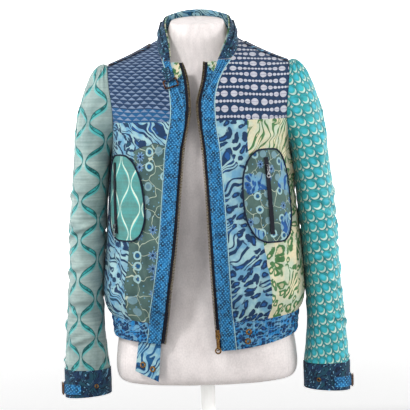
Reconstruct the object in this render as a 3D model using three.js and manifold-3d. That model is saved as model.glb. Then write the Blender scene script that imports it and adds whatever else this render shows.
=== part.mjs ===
// A short patchwork jacket, zipped at the front and open, worn by a limbless dress form on a low stand.
// Millimetres, +Z up, the front faces -Y. "Left" and "right" are the wearer's: left is +X.
// The origin is the middle of the stand's underside.
import * as THREE from "three";
import { mergeVertices } from "three/addons/utils/BufferGeometryUtils.js";
import Module from "manifold-3d";

const wasm = await Module();
wasm.setup();

// Driving dimensions
const CLOTH = 2; // thickness of a body or sleeve panel with its lining
const SEAM_GAP = 0.3; // between two pieces that meet at a seam
const ON_CLOTH = 0.7; // between a panel and what lies on it
const SQUARENESS = 2.2; // superellipse exponent of the body's sections
const CHEST_Z = 600; // above this height the cloth turns over towards the shoulders
const YOKE_Z = 642; // front yoke seam
const BACK_YOKE_Z = 690;
const COLLAR_FRONT_Z = 757; // the collar's front ends, where the zip bands end
const ARMPIT_Z = 585;
const SHOULDER_TIP = { x: 176, y: 2, z: 753 };
const NECK_SIDE = { x: 79, y: 4, z: 800 };
const ARMHOLE = { halfDepth: 58 };
const WAIST_SEAM = { side: 268, frontDrop: 10 };
const STAND = { baseRadius: 135, baseHeight: 12, poleRadius: 14, plateRadius: 42, plateHeight: 6 };
const FORM_BOTTOM = 132;

const METAL = { brass: [0x8a6a3a, 0.35, 0.9], gunmetal: [0x4a4440, 0.35, 0.9] };
const COLOURS = {
  triangles: 0x26385f, discs: 0x1d3558, tiger: 0x3f6c86, circles: 0x4d6664, leopard: 0x3f74a8,
  greenLeopard: 0xb9c19a, ogee: 0x66aaa4, ogeePale: 0x93b7ae, scallop: 0x2fb0b4, bandBlue: 0x1f6fae,
  navy: 0x1e2f55, creamGreen: 0xa9c3a0, form: 0xd6cfd0, stand: 0xf0efec, tape: 0x1a1c2c,
};

// Sections of the cloth's outer side: half width, and depth in front of and behind the side seams.
const BODY_SECTIONS = [
  { z: 190, width: 178, front: 127, back: 124 },
  { z: 227, width: 179, front: 129, back: 126 },
  { z: 262, width: 182, front: 133, back: 130 },
  { z: 285, width: 193, front: 143, back: 139 },
  { z: 310, width: 198, front: 149, back: 144 },
  { z: 360, width: 192, front: 151, back: 142 },
  { z: 450, width: 184, front: 149, back: 135 },
  { z: 540, width: 176, front: 146, back: 127 },
  { z: 585, width: 173, front: 145, back: 123 },
  { z: 642, width: 177, front: 143, back: 121 },
  { z: 672, width: 176, front: 132, back: 118 },
  { z: 700, width: 174, front: 118, back: 113 },
  { z: 728, width: 170, front: 101, back: 104 },
  { z: 757, width: 158, front: 80, back: 92 },
];

// Sections of the dress form: half width, depth in front of and behind its middle, superellipse exponent.
const FORM_SECTIONS = [
  { z: 132, width: 156, front: 84, back: 92, power: 2.2 },
  { z: 136, width: 168, front: 96, back: 104, power: 2.2 },
  { z: 144, width: 176, front: 103, back: 112, power: 2.2 },
  { z: 161, width: 180, front: 107, back: 116, power: 2.2 },
  { z: 190, width: 178, front: 108, back: 117, power: 2.2 },
  { z: 235, width: 172, front: 106, back: 115, power: 2.2 },
  { z: 300, width: 154, front: 98, back: 103, power: 2.2 },
  { z: 370, width: 130, front: 88, back: 89, power: 2.2 },
  { z: 410, width: 123, front: 86, back: 84, power: 2.2 },
  { z: 470, width: 132, front: 98, back: 88, power: 2.2 },
  { z: 540, width: 148, front: 120, back: 96, power: 2.2 },
  { z: 600, width: 156, front: 118, back: 101, power: 2.2 },
  { z: 670, width: 160, front: 94, back: 100, power: 2.1 },
  { z: 715, width: 162, front: 66, back: 84, power: 1.9 },
  { z: 738, width: 161, front: 50, back: 66, power: 1.6 },
  { z: 752, width: 155, front: 42, back: 54, power: 1.4 },
  { z: 763, width: 141, front: 42, back: 50, power: 1.25 },
  { z: 775, width: 117, front: 44, back: 50, power: 1.2 },
  { z: 786, width: 96, front: 46, back: 51, power: 1.3 },
  { z: 795, width: 76, front: 47, back: 52, power: 1.6 },
  { z: 806, width: 61, front: 48, back: 54, power: 2 },
  { z: 832, width: 54, front: 48, back: 60, power: 2 },
  { z: 836, width: 51, front: 46, back: 58, power: 2 },
];
const FORM_CAP = { from: 790, to: 836, slope: 0.2, middleY: 6 }; // the neck's top leans towards the front

// The front edges: distance from the centre line of the zip, the zip band's free edge and its seam.
const FRONTS = {
  left: {
    side: 1, hem: 205, seamAngles: [28, 38.5],
    edges: [
      { z: 190, zip: 30, edge: 30, seam: 58 },
      { z: 304, zip: 22, edge: 22, seam: 50 },
      { z: 398, zip: 18, edge: 18, seam: 46 },
      { z: 493, zip: 15, edge: 15, seam: 42 },
      { z: 587, zip: 10, edge: 10, seam: 36 },
      { z: 642, zip: 4, edge: 4, seam: 30 },
      { z: 672, zip: 2, edge: 4, seam: 29 },
      { z: 700, zip: 8, edge: 16, seam: 33 },
      { z: 728, zip: 15, edge: 27, seam: 43 },
      { z: 757, zip: 18, edge: 38, seam: 63 },
    ],
  },
  right: {
    side: -1, hem: 219, seamAngles: [45, 49],
    edges: [
      { z: 190, zip: 92, edge: 92, seam: 118 },
      { z: 307, zip: 74, edge: 74, seam: 100 },
      { z: 400, zip: 60, edge: 60, seam: 86 },
      { z: 495, zip: 49, edge: 49, seam: 76 },
      { z: 589, zip: 39, edge: 39, seam: 67 },
      { z: 642, zip: 28, edge: 28, seam: 56 },
      { z: 668, zip: 25, edge: 27, seam: 54 },
      { z: 700, zip: 26, edge: 37, seam: 56 },
      { z: 728, zip: 29, edge: 46, seam: 60 },
      { z: 757, zip: 38, edge: 54, seam: 68 },
    ],
  },
};

// Half of the collar, from the centre back to the front end: where it is sewn on, and its top edge.
const COLLAR_STATIONS = [
  { base: [0, 84, 808], top: [0, 76, 860] },
  { base: [30, 79, 808], top: [27, 71, 858] },
  { base: [56, 62, 806], top: [49, 56, 852] },
  { base: [73, 36, 803], top: [62, 32, 846] },
  { base: [79, 4, 800], top: [66, 3, 838] },
  { base: [79, -26, 789], top: [65, -26, 820] },
  { base: [75, -52, 773], top: [58, -54, 797] },
];
const FACING = { thick: 1.5, under: 12, gap: 1.5 }; // shows where the fronts roll open

// Sections of a sleeve below the armpit: inner and outer side, front and back.
const SLEEVE_SECTIONS = [
  { z: 560, inner: 178, outer: 250, front: -64, back: 60 },
  { z: 520, inner: 183, outer: 256, front: -64, back: 58 },
  { z: 460, inner: 188, outer: 259, front: -63, back: 56 },
  { z: 400, inner: 193, outer: 263, front: -62, back: 54 },
  { z: 340, inner: 199, outer: 266, front: -60, back: 50 },
  { z: 290, inner: 204, outer: 269, front: -57, back: 47 },
  { z: 240, inner: 198, outer: 274, front: -54, back: 45 },
  { z: 190, inner: 194, outer: 278, front: -50, back: 43 },
  { z: 162, inner: 191, outer: 280, front: -47, back: 41 },
];
const CUFF = { top: 161.4, bottom: 109, middle: 235.5, halfWidth: 46.5, halfDepth: 44, y: -3, tilt: 0.07 };
const CAP = { z: 560, pleats: 18, depth: 3.2, arch: 22, shoulder: 38, drop: 92 }; // the gathered sleeve head
// Soft folds across a sleeve: height, angle round it (0 outer, 90 front), half lengths, depth and slant.
const SLEEVE_FOLDS = {
  left: [
    { z: 470, angle: 20, wide: 60, high: 11, depth: 3.2, slant: 0.25 },
    { z: 415, angle: 70, wide: 50, high: 10, depth: -3, slant: -0.3 },
    { z: 372, angle: 10, wide: 60, high: 12, depth: 3.2, slant: 0.2 },
    { z: 300, angle: 50, wide: 55, high: 10, depth: -2.6, slant: 0.3 },
    { z: 236, angle: 15, wide: 60, high: 11, depth: 3, slant: -0.2 },
  ],
  right: [
    { z: 500, angle: 30, wide: 60, high: 11, depth: -2.8, slant: -0.25 },
    { z: 440, angle: 15, wide: 55, high: 12, depth: 3.2, slant: 0.3 },
    { z: 368, angle: 60, wide: 50, high: 10, depth: -3, slant: 0.25 },
    { z: 318, angle: 10, wide: 60, high: 11, depth: 3, slant: -0.3 },
    { z: 246, angle: 40, wide: 60, high: 10, depth: -2.8, slant: 0.2 },
  ],
};

const POCKETS = {
  left: { side: 1, angle: 44.5, halfAngle: 21.5, z: 497, halfHeight: 89, lean: 0, zipAngle: 42, pullZ: 552 },
  right: { side: -1, angle: 56, halfAngle: 20.5, z: 499, halfHeight: 82, lean: 5, zipAngle: 64, pullZ: 446 },
};

const radians = THREE.MathUtils.degToRad;
const vec = (x, y, z) => new THREE.Vector3(x, y, z);
const mix = THREE.MathUtils.lerp;
const smoothstep = THREE.MathUtils.smoothstep;

// A smooth function through a table's column, with no overshoot between its rows.
function column(table, name, key = "z") {
  const rows = [...table].sort((a, b) => a[key] - b[key]);
  const slope = (i) => (rows[i + 1][name] - rows[i][name]) / (rows[i + 1][key] - rows[i][key]);
  const tangents = rows.map((_, i) => {
    if (i === 0) return slope(0);
    if (i === rows.length - 1) return slope(i - 1);
    const [before, after] = [slope(i - 1), slope(i)];
    return before * after <= 0 ? 0 : (2 * before * after) / (before + after);
  });
  return (at) => {
    const x = THREE.MathUtils.clamp(at, rows[0][key], rows.at(-1)[key]);
    let i = rows.findIndex((row) => row[key] >= x) - 1;
    i = Math.max(0, i);
    const step = rows[i + 1][key] - rows[i][key];
    const t = (x - rows[i][key]) / step;
    const [t2, t3] = [t * t, t * t * t];
    return (
      rows[i][name] * (2 * t3 - 3 * t2 + 1) + rows[i + 1][name] * (3 * t2 - 2 * t3) +
      step * (tangents[i] * (t3 - 2 * t2 + t) + tangents[i + 1] * (t3 - t2))
    );
  };
}

const bodyWidth = column(BODY_SECTIONS, "width");
const bodyFront = column(BODY_SECTIONS, "front");
const bodyBack = column(BODY_SECTIONS, "back");

// The way out of the cloth: level below the chest, and turning upwards over the shoulders.
function outward(p) {
  const rise = Math.max(0, p.z - CHEST_Z);
  return vec(p.x / 175 ** 2, p.y / 140 ** 2, rise / 150 ** 2).normalize();
}

const along = (p, direction, distance) => p.clone().addScaledVector(direction, distance);
const raised = (p, height) => along(p, outward(p), height);

function superellipse(angle, width, front, back, exponent = SQUARENESS) {
  const power = (value) => Math.sign(value) * Math.abs(value) ** (2 / exponent);
  const depth = Math.cos(angle) > 0 ? front : back;
  return [width * power(Math.sin(angle)), -depth * power(Math.cos(angle))];
}

function waistSeam(angle) {
  return WAIST_SEAM.side - WAIST_SEAM.frontDrop * Math.max(0, Math.cos(angle)) ** 2;
}

// Blouson folds: fullness above the waist seam, gathered into it, dying out up the body.
function foldDepth(angle, z) {
  const height = z - waistSeam(angle);
  if (height < 0) return 0;
  const swell = (height / 26) * Math.exp(1 - height / 26);
  const waves = Math.sin(angle * 20) + 0.45 * Math.sin(angle * 13 + 1);
  return 2.6 * swell * waves;
}

// A point of the body's cloth. The angle runs from the centre front towards the wearer's left.
function bodyPoint(angle, z) {
  const [x, y] = superellipse(angle, bodyWidth(z), bodyFront(z), bodyBack(z));
  return raised(vec(x, y, z), foldDepth(angle, z));
}

// The angle at which the front passes a distance from the centre line.
function frontAngle(x, z) {
  return Math.sign(x) * Math.asin((Math.abs(x) / bodyWidth(z)) ** (SQUARENESS / 2));
}

// The angle at which the body passes a depth, on the front or the back, on the wearer's left.
function depthAngle(y, z) {
  const depth = y <= 0 ? bodyFront(z) : bodyBack(z);
  const share = Math.acos(Math.min(1, Math.abs(y) / depth) ** (SQUARENESS / 2));
  return y <= 0 ? share : Math.PI - share;
}

// Turns a geometry whose faces point inwards.
function facingOut(geometry) {
  const { array } = geometry.getAttribute("position");
  const index = geometry.index.array;
  const corner = (i) => vec(array[3 * i], array[3 * i + 1], array[3 * i + 2]);
  let volume = 0;
  for (let i = 0; i < index.length; i += 3) {
    const [a, b, c] = [0, 1, 2].map((k) => corner(index[i + k]));
    volume += a.dot(b.cross(c));
  }
  if (volume < 0)
    for (let i = 0; i < index.length; i += 3) [index[i + 1], index[i + 2]] = [index[i + 2], index[i + 1]];
  return geometry;
}

// A closed wall from two grids of points, outer[column][row] and inner[column][row]. The inner side may
// use only some of the rows, the first and last among them. A closed wall's last column joins its first.
function wall(outer, inner, { closed = false, innerRows = null } = {}) {
  const columns = outer.length;
  const rows = outer[0].length;
  const used = innerRows ?? [...Array(rows).keys()];
  const positions = [...outer.flat(), ...inner.flat()].flatMap((p) => [p.x, p.y, p.z]);
  const out = (i, j) => (i % columns) * rows + j;
  const into = (i, j) => columns * rows + out(i, j);
  const faces = [];
  const quad = (a, b, c, d) => faces.push(a, b, c, a, c, d);
  const last = closed ? columns : columns - 1;
  for (let i = 0; i < last; i++) {
    for (let j = 0; j < rows - 1; j++) quad(out(i, j), out(i + 1, j), out(i + 1, j + 1), out(i, j + 1));
    for (let k = 0; k < used.length - 1; k++) {
      const [j, next] = [used[k], used[k + 1]];
      quad(into(i, j), into(i, next), into(i + 1, next), into(i + 1, j));
    }
    quad(out(i, 0), into(i, 0), into(i + 1, 0), out(i + 1, 0));
    quad(out(i, rows - 1), out(i + 1, rows - 1), into(i + 1, rows - 1), into(i, rows - 1));
  }
  if (!closed)
    for (const [i, turned] of [[0, false], [columns - 1, true]])
      for (let k = 0; k < used.length - 1; k++) {
        const [from, to] = [used[k], used[k + 1]];
        const fan = [];
        for (let j = from; j < to; j++) fan.push([out(i, j), out(i, j + 1), into(i, from)]);
        fan.push([out(i, to), into(i, to), into(i, from)]);
        for (const [a, b, c] of fan) faces.push(...(turned ? [a, c, b] : [a, b, c]));
      }
  const geometry = new THREE.BufferGeometry();
  geometry.setAttribute("position", new THREE.Float32BufferAttribute(positions, 3));
  geometry.setIndex(faces);
  const merged = mergeVertices(geometry, 1e-4);
  merged.setIndex([...merged.index.array]);
  return facingOut(merged);
}

const steps = (count, from = 0, to = 1) => Array.from({ length: count + 1 }, (_, i) => mix(from, to, i / count));

// A wall over a surface function of two shares, thickened along the way out of the cloth.
function clothWall(surface, us, vs, { thick = CLOTH, out = outward, ...options } = {}) {
  const outer = us.map((u) => vs.map((v) => surface(u, v)));
  const inner = outer.map((line) => line.map((p) => along(p, out(p), -thick)));
  return wall(outer, inner, options);
}

const root = new THREE.Group();
function add(name, geometry, colour, roughness = 0.8, metalness = 0, parent = root) {
  const mesh = new THREE.Mesh(geometry, new THREE.MeshStandardMaterial({ color: colour, roughness, metalness }));
  mesh.name = name;
  parent.add(mesh);
  return mesh;
}

// manifold-3d joins and cuts of closed geometries.
function solidOf(geometry, matrix = new THREE.Matrix4()) {
  const bare = geometry.index ? geometry.toNonIndexed() : geometry.clone();
  const placed = new THREE.BufferGeometry();
  placed.setAttribute("position", bare.getAttribute("position"));
  placed.applyMatrix4(matrix);
  const merged = mergeVertices(placed, 1e-4);
  return new wasm.Manifold(
    new wasm.Mesh({
      numProp: 3,
      vertProperties: merged.attributes.position.array,
      triVerts: new Uint32Array(merged.index.array),
    }),
  );
}

function geometryOf(solid) {
  const mesh = solid.getMesh();
  const geometry = new THREE.BufferGeometry();
  geometry.setAttribute("position", new THREE.Float32BufferAttribute(mesh.vertProperties, 3));
  geometry.setIndex([...mesh.triVerts]);
  return geometry;
}

// The front edges: zip, band edge and seam as functions of height.
for (const front of Object.values(FRONTS))
  for (const name of ["zip", "edge", "seam"]) front[name] = column(front.edges, name);

const frontPoint = (front, distance, z) => bodyPoint(frontAngle(front.side * distance, z), z);

// The bottom edge of a front, which droops towards the zip. The back's bottom edge is level.
const HEM_SIDE = 227;
function hem(angle) {
  const front = angle >= 0 ? FRONTS.left : FRONTS.right;
  return HEM_SIDE - (HEM_SIDE - front.hem) * Math.max(0, Math.cos(angle)) ** 2;
}

// The armhole: an oval in an upright plane. Its angle runs from the shoulder tip through the front.
const armholeMiddle = (SHOULDER_TIP.z + ARMPIT_Z) / 2;
const armholeHalf = (SHOULDER_TIP.z - ARMPIT_Z) / 2;
const armholeZ = (angle) => armholeMiddle + armholeHalf * Math.cos(angle);
const armholeAngle = (z) => Math.acos(THREE.MathUtils.clamp((z - armholeMiddle) / armholeHalf, -1, 1));
const armholeDepth = (z) => ARMHOLE.halfDepth * Math.sin(armholeAngle(z));
function armholePoint(angle) {
  const z = armholeZ(angle);
  const towards = Math.sin(angle) > 0 ? -1 : 1;
  const seamZ = towards < 0 ? YOKE_Z : BACK_YOKE_Z;
  const low = Math.min(z, seamZ);
  const edge = bodyPoint(depthAngle(armholeDepth(low) * towards, low), low).x;
  const rise = smoothstep(z, seamZ, SHOULDER_TIP.z);
  return vec(mix(edge, SHOULDER_TIP.x, rise), towards * armholeDepth(z) + SHOULDER_TIP.y * rise, z);
}
const mirrored = (p, side) => vec(p.x * side, p.y, p.z);

// Body panels below the yokes
const ROWS = [0, 0.04, 0.09, 0.17, 0.32, 0.52, 0.76];
const ARMHOLE_ROWS = [180, 160, 140, 120].map((degrees) => armholeZ(radians(degrees)));
const BACK_ROWS = [100, 88].map((degrees) => armholeZ(radians(degrees)));
function panelHeights(angle, top) {
  const low = waistSeam(angle) + SEAM_GAP;
  const heights = [...ROWS.map((share) => mix(low, ARMPIT_Z, share)), ...ARMHOLE_ROWS];
  return top > YOKE_Z ? [...heights, ...BACK_ROWS, top] : [...heights, top];
}

// The side limit of a panel at a height: the side seam, or the armhole above the armpit.
function sideAngle(z, back) {
  const side = depthAngle(armholeDepth(Math.min(z, back ? BACK_YOKE_Z : YOKE_Z)) * (back ? 1 : -1), z);
  return z <= ARMPIT_Z ? Math.PI / 2 : side;
}

const PANEL_INNER_ROWS = [0, 2, 4, 6, 7, 8, 9, 10, 11];

// A panel of a front between two limits, each a function of height that gives an angle on the left.
function frontPanel(front, from, to, columns) {
  const grid = steps(columns).map((share) => {
    const heights = panelHeights(0.8, YOKE_Z - SEAM_GAP / 2);
    return heights.map((_, row) => {
      const guess = panelHeights(mix(from(heights[row]), to(heights[row]), share), YOKE_Z - SEAM_GAP / 2)[row];
      const inset = SEAM_GAP / 2 / bodyWidth(guess);
      const angle = mix(from(guess) + inset, to(guess) - inset, share);
      return bodyPoint(front.side * angle, guess);
    });
  });
  const inner = grid.map((line) => line.map((p) => along(p, outward(p), -CLOTH)));
  return wall(grid, inner, { innerRows: PANEL_INNER_ROWS });
}

for (const [name, front] of Object.entries(FRONTS)) {
  const [top, bottom] = front.seamAngles.map(radians);
  const panelSeam = (z) => mix(bottom, top, smoothstep(z, WAIST_SEAM.side, YOKE_Z));
  const bandSeam = (z) => frontAngle(front.seam(z), z);
  const [centre, side] = name === "left" ? ["leopard", "greenLeopard"] : ["circles", "tiger"];
  add(`front_${name}_centre`, frontPanel(front, bandSeam, panelSeam, 6), COLOURS[centre]);
  add(`front_${name}_side`, frontPanel(front, panelSeam, (z) => sideAngle(z, false), 9), COLOURS[side]);
}

function backPanel() {
  const top = BACK_YOKE_Z - SEAM_GAP / 2;
  const heights = panelHeights(Math.PI, top);
  const grid = steps(32, -1, 1).map((share) =>
    heights.map((z) => {
      const limit = sideAngle(z, true) + SEAM_GAP / 2 / bodyWidth(z);
      return bodyPoint(Math.PI - share * (Math.PI - limit), z);
    }),
  );
  const inner = grid.map((line) => line.map((p) => along(p, outward(p), -CLOTH)));
  return wall(grid, inner, { innerRows: [0, 2, 4, 6, 7, 8, 9, 10, 11, 13] });
}
add("back", backPanel(), COLOURS.tiger);

// A surface stretched between four edges that share their corners.
function coons(bottom, top, left, right) {
  const [b0, b1, t0, t1] = [bottom(0), bottom(1), top(0), top(1)];
  return (u, v) =>
    vec(0, 0, 0)
      .addScaledVector(bottom(u), 1 - v).addScaledVector(top(u), v)
      .addScaledVector(left(v), 1 - u).addScaledVector(right(v), u)
      .addScaledVector(b0, -(1 - u) * (1 - v)).addScaledVector(b1, -u * (1 - v))
      .addScaledVector(t0, -(1 - u) * v).addScaledVector(t1, -u * v);
}

// The shoulder seam from the neck to the tip, slightly hollow.
const neckSide = vec(NECK_SIDE.x, NECK_SIDE.y, NECK_SIDE.z);
const shoulderTip = vec(SHOULDER_TIP.x, SHOULDER_TIP.y, SHOULDER_TIP.z);
function shoulderSeam(share) {
  const p = neckSide.clone().lerp(shoulderTip, share);
  p.z -= 3 * Math.sin(Math.PI * share);
  return p;
}

// The neckline from a front's collar end up to the side of the neck.
function neckline(front, share) {
  const start = frontPoint(front, front.seam(COLLAR_FRONT_Z), COLLAR_FRONT_Z);
  const last = COLLAR_STATIONS.slice(4).reverse().map(({ base }) => vec(base[0] * front.side, base[1], base[2]));
  return new THREE.CatmullRomCurve3([start, ...last]).getPoint(share);
}

const BAND_SHARE = 0.6; // of a yoke's front edge, the part that meets the zip band
const YOKE_ROWS = 10;
const yokeHeights = steps(YOKE_ROWS * BAND_SHARE, YOKE_Z, COLLAR_FRONT_Z).slice(1);
function yokeSurface(front) {
  const seamAngle = frontAngle(front.seam(YOKE_Z), YOKE_Z);
  const end = sideAngle(YOKE_Z, false);
  return coons(
    (u) => bodyPoint(front.side * mix(seamAngle, end, u), YOKE_Z),
    (u) => mirrored(shoulderSeam(u), front.side),
    (v) => {
      if (v >= BAND_SHARE) return neckline(front, (v - BAND_SHARE) / (1 - BAND_SHARE));
      const z = mix(YOKE_Z, COLLAR_FRONT_Z, v / BAND_SHARE);
      return frontPoint(front, front.seam(z), z);
    },
    (v) => mirrored(armholePoint(mix(armholeAngle(YOKE_Z), 0.0001, v)), front.side),
  );
}

const backNeck = new THREE.CatmullRomCurve3(
  [...COLLAR_STATIONS.slice(0, 5)].reverse().map(({ base }) => vec(...base))
    .concat(COLLAR_STATIONS.slice(1, 5).map(({ base }) => vec(-base[0], base[1], base[2]))),
);
const BACK_SHOULDER_SHARE = 0.3; // of the back yoke's top edge, each shoulder seam
function backYokeSurface() {
  const limit = sideAngle(BACK_YOKE_Z, true);
  const side = (left) => (v) => mirrored(armholePoint(mix(-armholeAngle(BACK_YOKE_Z), -0.0001, v)), left);
  return coons(
    (u) => bodyPoint(mix(limit, 2 * Math.PI - limit, u), BACK_YOKE_Z),
    (u) => {
      if (u <= BACK_SHOULDER_SHARE) return shoulderSeam(1 - u / BACK_SHOULDER_SHARE);
      if (u >= 1 - BACK_SHOULDER_SHARE)
        return mirrored(shoulderSeam(1 - (1 - u) / BACK_SHOULDER_SHARE), -1);
      return backNeck.getPoint((u - BACK_SHOULDER_SHARE) / (1 - 2 * BACK_SHOULDER_SHARE));
    },
    side(1),
    side(-1),
  );
}

const inset = (length) => SEAM_GAP / 2 / length;
const yokeSurfaces = {
  left: yokeSurface(FRONTS.left),
  right: yokeSurface(FRONTS.right),
  back: backYokeSurface(),
};
for (const name of ["left", "right"])
  add(`yoke_${name}`,
    clothWall(yokeSurfaces[name], steps(8, inset(110), 1 - inset(110)), steps(YOKE_ROWS, inset(150), 1 - inset(150))),
    name === "left" ? COLOURS.discs : COLOURS.triangles);
add("yoke_back",
  clothWall(yokeSurfaces.back, steps(20, inset(320), 1 - inset(320)), steps(6, inset(90), 1 - inset(90))),
  COLOURS.leopard);


// Way out of a grid's surface, by the cross product of its neighbours' differences
function normals(grid, closed) {
  const last = grid.length - 1;
  const at = (i) => (closed ? grid[(i + grid.length) % grid.length] : grid[THREE.MathUtils.clamp(i, 0, last)]);
  return grid.map((line, i) =>
    line.map((_, j) => {
      const across = at(i + 1)[j].clone().sub(at(i - 1)[j]);
      const down = line[Math.min(j + 1, line.length - 1)].clone().sub(line[Math.max(j - 1, 0)]);
      return across.cross(down).normalize();
    }),
  );
}

// A wall whose inner side lies a thickness within a smooth surface that the outer side rises from.
function foldedWall(surface, folds, us, vs, { thick = CLOTH, sign = 1, ...options } = {}) {
  const smooth = us.map((u) => vs.map((v) => surface(u, v)));
  const way = normals(smooth, options.closed).map((line) => line.map((n) => n.multiplyScalar(sign)));
  const outer = smooth.map((line, i) => line.map((p, j) => along(p, way[i][j], folds(us[i], vs[j]))));
  const depth = (u, v) => Math.min(0, folds(u, v)) - thick;
  const inner = smooth.map((line, i) => line.map((p, j) => along(p, way[i][j], depth(us[i], vs[j]))));
  return wall(outer, inner, options);
}

// Sleeves: the rows run from 0 at the armhole to 1 at the end of the cap, then on down to 2 at the cuff.
const sleeve = Object.fromEntries(
  ["inner", "outer", "front", "back"].map((name) => [name, column(SLEEVE_SECTIONS, name)]),
);
const oval = (angle) => {
  const power = (value) => Math.sign(value) * Math.abs(value) ** (2 / 2.15);
  return [power(Math.cos(angle)), power(Math.sin(angle))];
};
function sleeveSection(angle, z) {
  const [across, forward] = oval(angle);
  const [inner, outer, front, back] = ["inner", "outer", "front", "back"].map((name) => sleeve[name](z));
  return vec(
    (inner + outer) / 2 + ((outer - inner) / 2) * across,
    (front + back) / 2 - ((back - front) / 2) * forward,
    z,
  );
}
const ringAngles = (count) => Array.from({ length: count }, (_, i) => (i / count) * 2 * Math.PI);
const bunched = (turn) => turn - 0.28 * Math.sin(turn); // more columns on the sleeve's upper side
function sleevePoint(turn, row) {
  const angle = bunched(turn);
  if (row >= 1) return sleeveSection(angle, mix(CAP.z, 162, row - 1));
  const start = armholePoint(angle).add(vec(0.5, 0, 0));
  const end = sleeveSection(angle, CAP.z);
  const upper = (1 + Math.cos(angle)) / 2;
  const first = along(start, vec(1, 0, 0), mix(1.5, CAP.shoulder, upper)).add(vec(0, 0, CAP.arch * upper ** 4));
  const second = along(end, vec(0, 0, 1), mix(6, CAP.drop, upper)).add(vec(-2 * upper, 0, 0));
  return new THREE.CubicBezierCurve3(start, first, second, end).getPoint(row);
}
function sleeveFolds(name, turn, row) {
  const angle = bunched(turn);
  const upper = (0.5 + 0.5 * Math.cos(angle)) ** 0.7;
  const gather = CAP.depth * upper * (0.5 + 0.5 * Math.cos(turn * CAP.pleats)) * smoothstep(row, 0, 0.12);
  const pleat = gather * (1 - smoothstep(row, 0.25, 0.8));
  const z = row >= 1 ? mix(CAP.z, 162, row - 1) : 700;
  const degrees = THREE.MathUtils.radToDeg(angle);
  const soft = SLEEVE_FOLDS[name].map((fold) => {
    const far = THREE.MathUtils.euclideanModulo(degrees - fold.angle + 180, 360) - 180;
    const off = (z - fold.z - fold.slant * far) / fold.high;
    return fold.depth * Math.exp(-(off ** 2)) * Math.exp(-((far / fold.wide) ** 2));
  });
  return pleat + soft.reduce((sum, value) => sum + value, 0);
}
const SLEEVE_ROWS = [0, 0.1, 0.24, 0.44, 0.7, 1, 1.13, 1.26, 1.39, 1.52, 1.65, 1.78, 1.9, 2];
const SLEEVE_INNER_ROWS = [0, 2, 3, 5, 8, 11, 13];
for (const [name, side] of [["left", 1], ["right", -1]])
  add(`sleeve_${name}`,
    foldedWall(
      (turn, row) => mirrored(sleevePoint(turn, row), side),
      (turn, row) => sleeveFolds(name, turn, row),
      ringAngles(2 * CAP.pleats), SLEEVE_ROWS, { closed: true, sign: side, innerRows: SLEEVE_INNER_ROWS },
    ),
    name === "left" ? COLOURS.scallop : COLOURS.ogeePale);

// Cuffs
function cuffPoint(angle, share, lift = 0) {
  const [across, forward] = oval(angle);
  const x = CUFF.middle + (CUFF.halfWidth + lift) * across;
  const bottom = CUFF.bottom - CUFF.tilt * (x - CUFF.middle);
  return vec(x, CUFF.y - (CUFF.halfDepth + lift) * forward, mix(CUFF.top, bottom, share));
}
function between(pointAt, us, vs, outerLift, innerLift, side, options = {}) {
  const grid = (lift) => us.map((u) => vs.map((v) => mirrored(pointAt(u, v, lift), side)));
  return wall(grid(outerLift), grid(innerLift), options);
}
for (const [name, side] of [["left", 1], ["right", -1]]) {
  add(`cuff_${name}`, between(cuffPoint, ringAngles(28), [0, 1], 0, -CLOTH, side, { closed: true }),
    COLOURS.navy);
  const strap = (angle, share, lift) => {
    const away = Math.max(0, -THREE.MathUtils.radToDeg(angle) - 12) / 30;
    return cuffPoint(angle, share, lift + 13 * Math.min(1.1, away) ** 1.5);
  };
  add(`cuff_strap_${name}`,
    between(strap, steps(12, radians(78), radians(-48)), steps(1, 0.5, 0.86), ON_CLOTH + 1.6, ON_CLOTH, side),
    COLOURS.bandBlue);
}

// Collar: stations run from the wearer's right end round the back to the left end.
function collarStations(front) {
  const end = FRONTS[front];
  const lift = vec(0, 0, 2 * SEAM_GAP);
  const half = COLLAR_STATIONS.map(({ base, top }) => ({
    base: mirrored(vec(...base), end.side),
    top: mirrored(vec(...top), end.side),
  }));
  half.push({
    base: frontPoint(end, end.seam(COLLAR_FRONT_Z), COLLAR_FRONT_Z).add(lift),
    top: frontPoint(end, end.edge(COLLAR_FRONT_Z), COLLAR_FRONT_Z).add(lift),
  });
  return half;
}
const stations = [...collarStations("right").reverse(), ...collarStations("left").slice(1)];
const collarBase = new THREE.CatmullRomCurve3(stations.map(({ base }) => base));
const collarTop = new THREE.CatmullRomCurve3(stations.map(({ top }) => top));
function collarWay(p) {
  return vec(p.x / 80 ** 2, (p.y - 14) / 72 ** 2, 0.0022).normalize();
}
function collarPoint(share, rise, lift = 0) {
  const [low, high] = [collarBase.getPoint(share), collarTop.getPoint(share)];
  const p = low.lerp(high, rise);
  return along(p, collarWay(p), lift + 2.5 * Math.sin(Math.PI * rise));
}
const COLLAR_GAP = 0.014; // of the collar's height, between its base and the yokes
add("collar", between(collarPoint, steps(24), [COLLAR_GAP, 0.35, 0.7, 1], 0, -CLOTH, 1), COLOURS.navy);
add("collar_facing",
  between(collarPoint, steps(24, 0.012, 0.988), [0.1, 0.5, 1.03], -CLOTH - FACING.gap,
    -CLOTH - FACING.gap - FACING.thick, 1),
  COLOURS.creamGreen);
const STRAP = { low: 0.4, high: 0.68, thick: 1.6, from: 0.05, to: 0.95 };
add("throat_strap",
  between(collarPoint, steps(26, STRAP.from, STRAP.to), [STRAP.low, STRAP.high], ON_CLOTH + STRAP.thick,
    ON_CLOTH, 1),
  COLOURS.bandBlue);
const CARRIERS = { right: 0.28, back: 0.5, left: 0.72 };
for (const [name, share] of Object.entries(CARRIERS)) {
  const low = ON_CLOTH + STRAP.thick + 0.6;
  add(`strap_carrier_${name}`,
    between(collarPoint, steps(2, share - 0.012, share + 0.012), [STRAP.low - 0.07, STRAP.high + 0.07],
      low + 1.4, low, 1),
    COLOURS.navy);
}

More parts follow.
